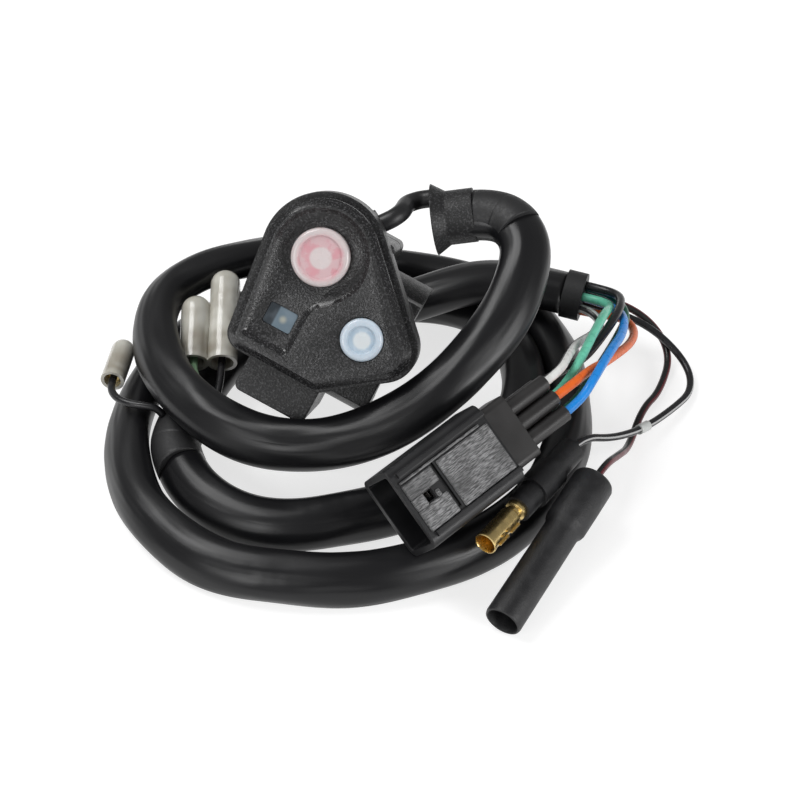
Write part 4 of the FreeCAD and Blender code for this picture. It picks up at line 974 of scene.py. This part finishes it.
def dress_pod():
    """Materials of the pod's own nodes."""
    pink, pale, rose = (0.66, 0.34, 0.38), (0.68, 0.6, 0.6), (0.62, 0.55, 0.55)
    ice, frost, cool = (0.42, 0.53, 0.63), (0.68, 0.72, 0.74), (0.56, 0.64, 0.72)
    housing = grained_plastic("housing_grain_and_glints", (0.008, 0.008, 0.0085), 0.42, 0.14 * MM, 0.6 * MM)
    stop_cap = button_cap("stop_cap_look", "stop_cap", (pale, pink, rose), (2.3 * MM, 5 * MM))
    mode_cap = button_cap("mode_cap_look", "mode_cap", (frost, ice, cool), (1.8 * MM, 3.2 * MM))
    contact = soft_rubber("contact_grey", (0.1, 0.1, 0.11), 0.6, 0.5 * MM, 0.03 * MM)
    seal = soft_rubber("seal_black", (0.012, 0.012, 0.012), 0.55, 0.5 * MM, 0.03 * MM)
    dress(housing, "rear_housing", "clamp_cap")
    dress(window_lens("window_tint"), "indicator_lens")
    dress(satin_plastic("led_body", (0.75, 0.74, 0.68), 0.3), "indicator_led")
    dress(stop_cap, "stop_cap")
    dress(mode_cap, "mode_cap")
    dress(satin_plastic("ring_red", (0.7, 0.16, 0.18), 0.3), "stop_ring")
    dress(satin_plastic("ring_blue", (0.3, 0.42, 0.62), 0.3), "mode_ring")
    dress(satin_plastic("stem_white", (0.75, 0.75, 0.75), 0.4), "stop_stem", "mode_stem")
    dress(contact, "stop_contact", "mode_contact")
    dress(seal, "cover_seal", "cable_grommet")
    dress(circuit_lacquer("board_lacquer"), "circuit_board")
    dress(turned_metal("insert_brass", (0.75, 0.56, 0.25), 0.35), "clamp_inserts")
    dress(turned_metal("zinc_screw", (0.62, 0.62, 0.6), 0.3), "clamp_screws", "housing_screws")


def dress_loom(tape, rubber, brass):
    """Materials of the loom's nodes that keep the model's own shape."""
    lead = soft_rubber("lead_black", (0.012, 0.012, 0.013), 0.4, 0.6 * MM, 0.02 * MM)
    boot = grained_plastic("boot_grain_and_glints", (0.007, 0.007, 0.0075), 0.5, 0.12 * MM, 0.5 * MM)
    shell = satin_plastic("plug_nylon", (0.007, 0.007, 0.008), 0.4, 0.35 * MM)
    core = satin_plastic("core_nylon", (0.018, 0.017, 0.017), 0.38, 0.2 * MM)
    dress(lead, "switch_lead")
    dress(boot, "lead_boot")
    dress(shell, "plug_shell")
    dress(core, "plug_core")
    dress(turned_metal("tinned_pin", (0.8, 0.78, 0.72), 0.25), "plug_pins")
    dress(brass, "long_bullet_socket", "clear_pair_sockets", "clear_single_socket")
    dress(rubber, "bullet_boot")
    dress(milky_vinyl("milky_pair", CLEAR_PAIR.origin, CLEAR_PAIR.z), "clear_pair_sleeve")
    dress(milky_vinyl("milky_single", CLEAR_SINGLE.origin, CLEAR_SINGLE.z),
          "clear_single_sleeve")
    dress(tape, "end_tape")


def main():
    add_camera()
    vinyl = vinyl_sleeve("sleeve_vinyl_skin")
    tape = wrapped_tape("wrapped_tape")
    covers = {name: wire_cover(name, *look) for name, look in WIRE_COVERS.items()}
    sleeve, sleeve_line = add_sleeve("sleeve_loops", SLEEVE_ROUTE, LOOPS_SEED, vinyl)
    tail, tail_line = add_sleeve("tail_sleeve", TAIL_ROUTE, TAIL_SEED, vinyl)
    add_tapes(sleeve_line, tape)
    wires = add_wires(covers)

    add_soft_cover(grained_plastic("cover_grain_and_glints", (0.01, 0.01, 0.0105), 0.32, 0.13 * MM,
                                   face=FACE_OUT))
    add_plug_relief(scuffed_nylon_with_sheen("plug_scuffs_and_sheen", PLUG.z))
    rubber = soft_rubber("bullet_rubber", (0.007, 0.007, 0.008), 0.5, 0.35 * MM, 0.09 * MM)
    long_sleeve = add_long_sleeve(rubber)
    brass = turned_metal("bright_brass", (0.9, 0.68, 0.3), 0.24, 0.8 * MM)
    marker = add_marker(wires["wire_to_short_bullet"][1], covers["marker_white"])
    socket = add_socket(brass)

    dress_pod()
    dress_loom(tape, rubber, brass)
    add_studio()


main()
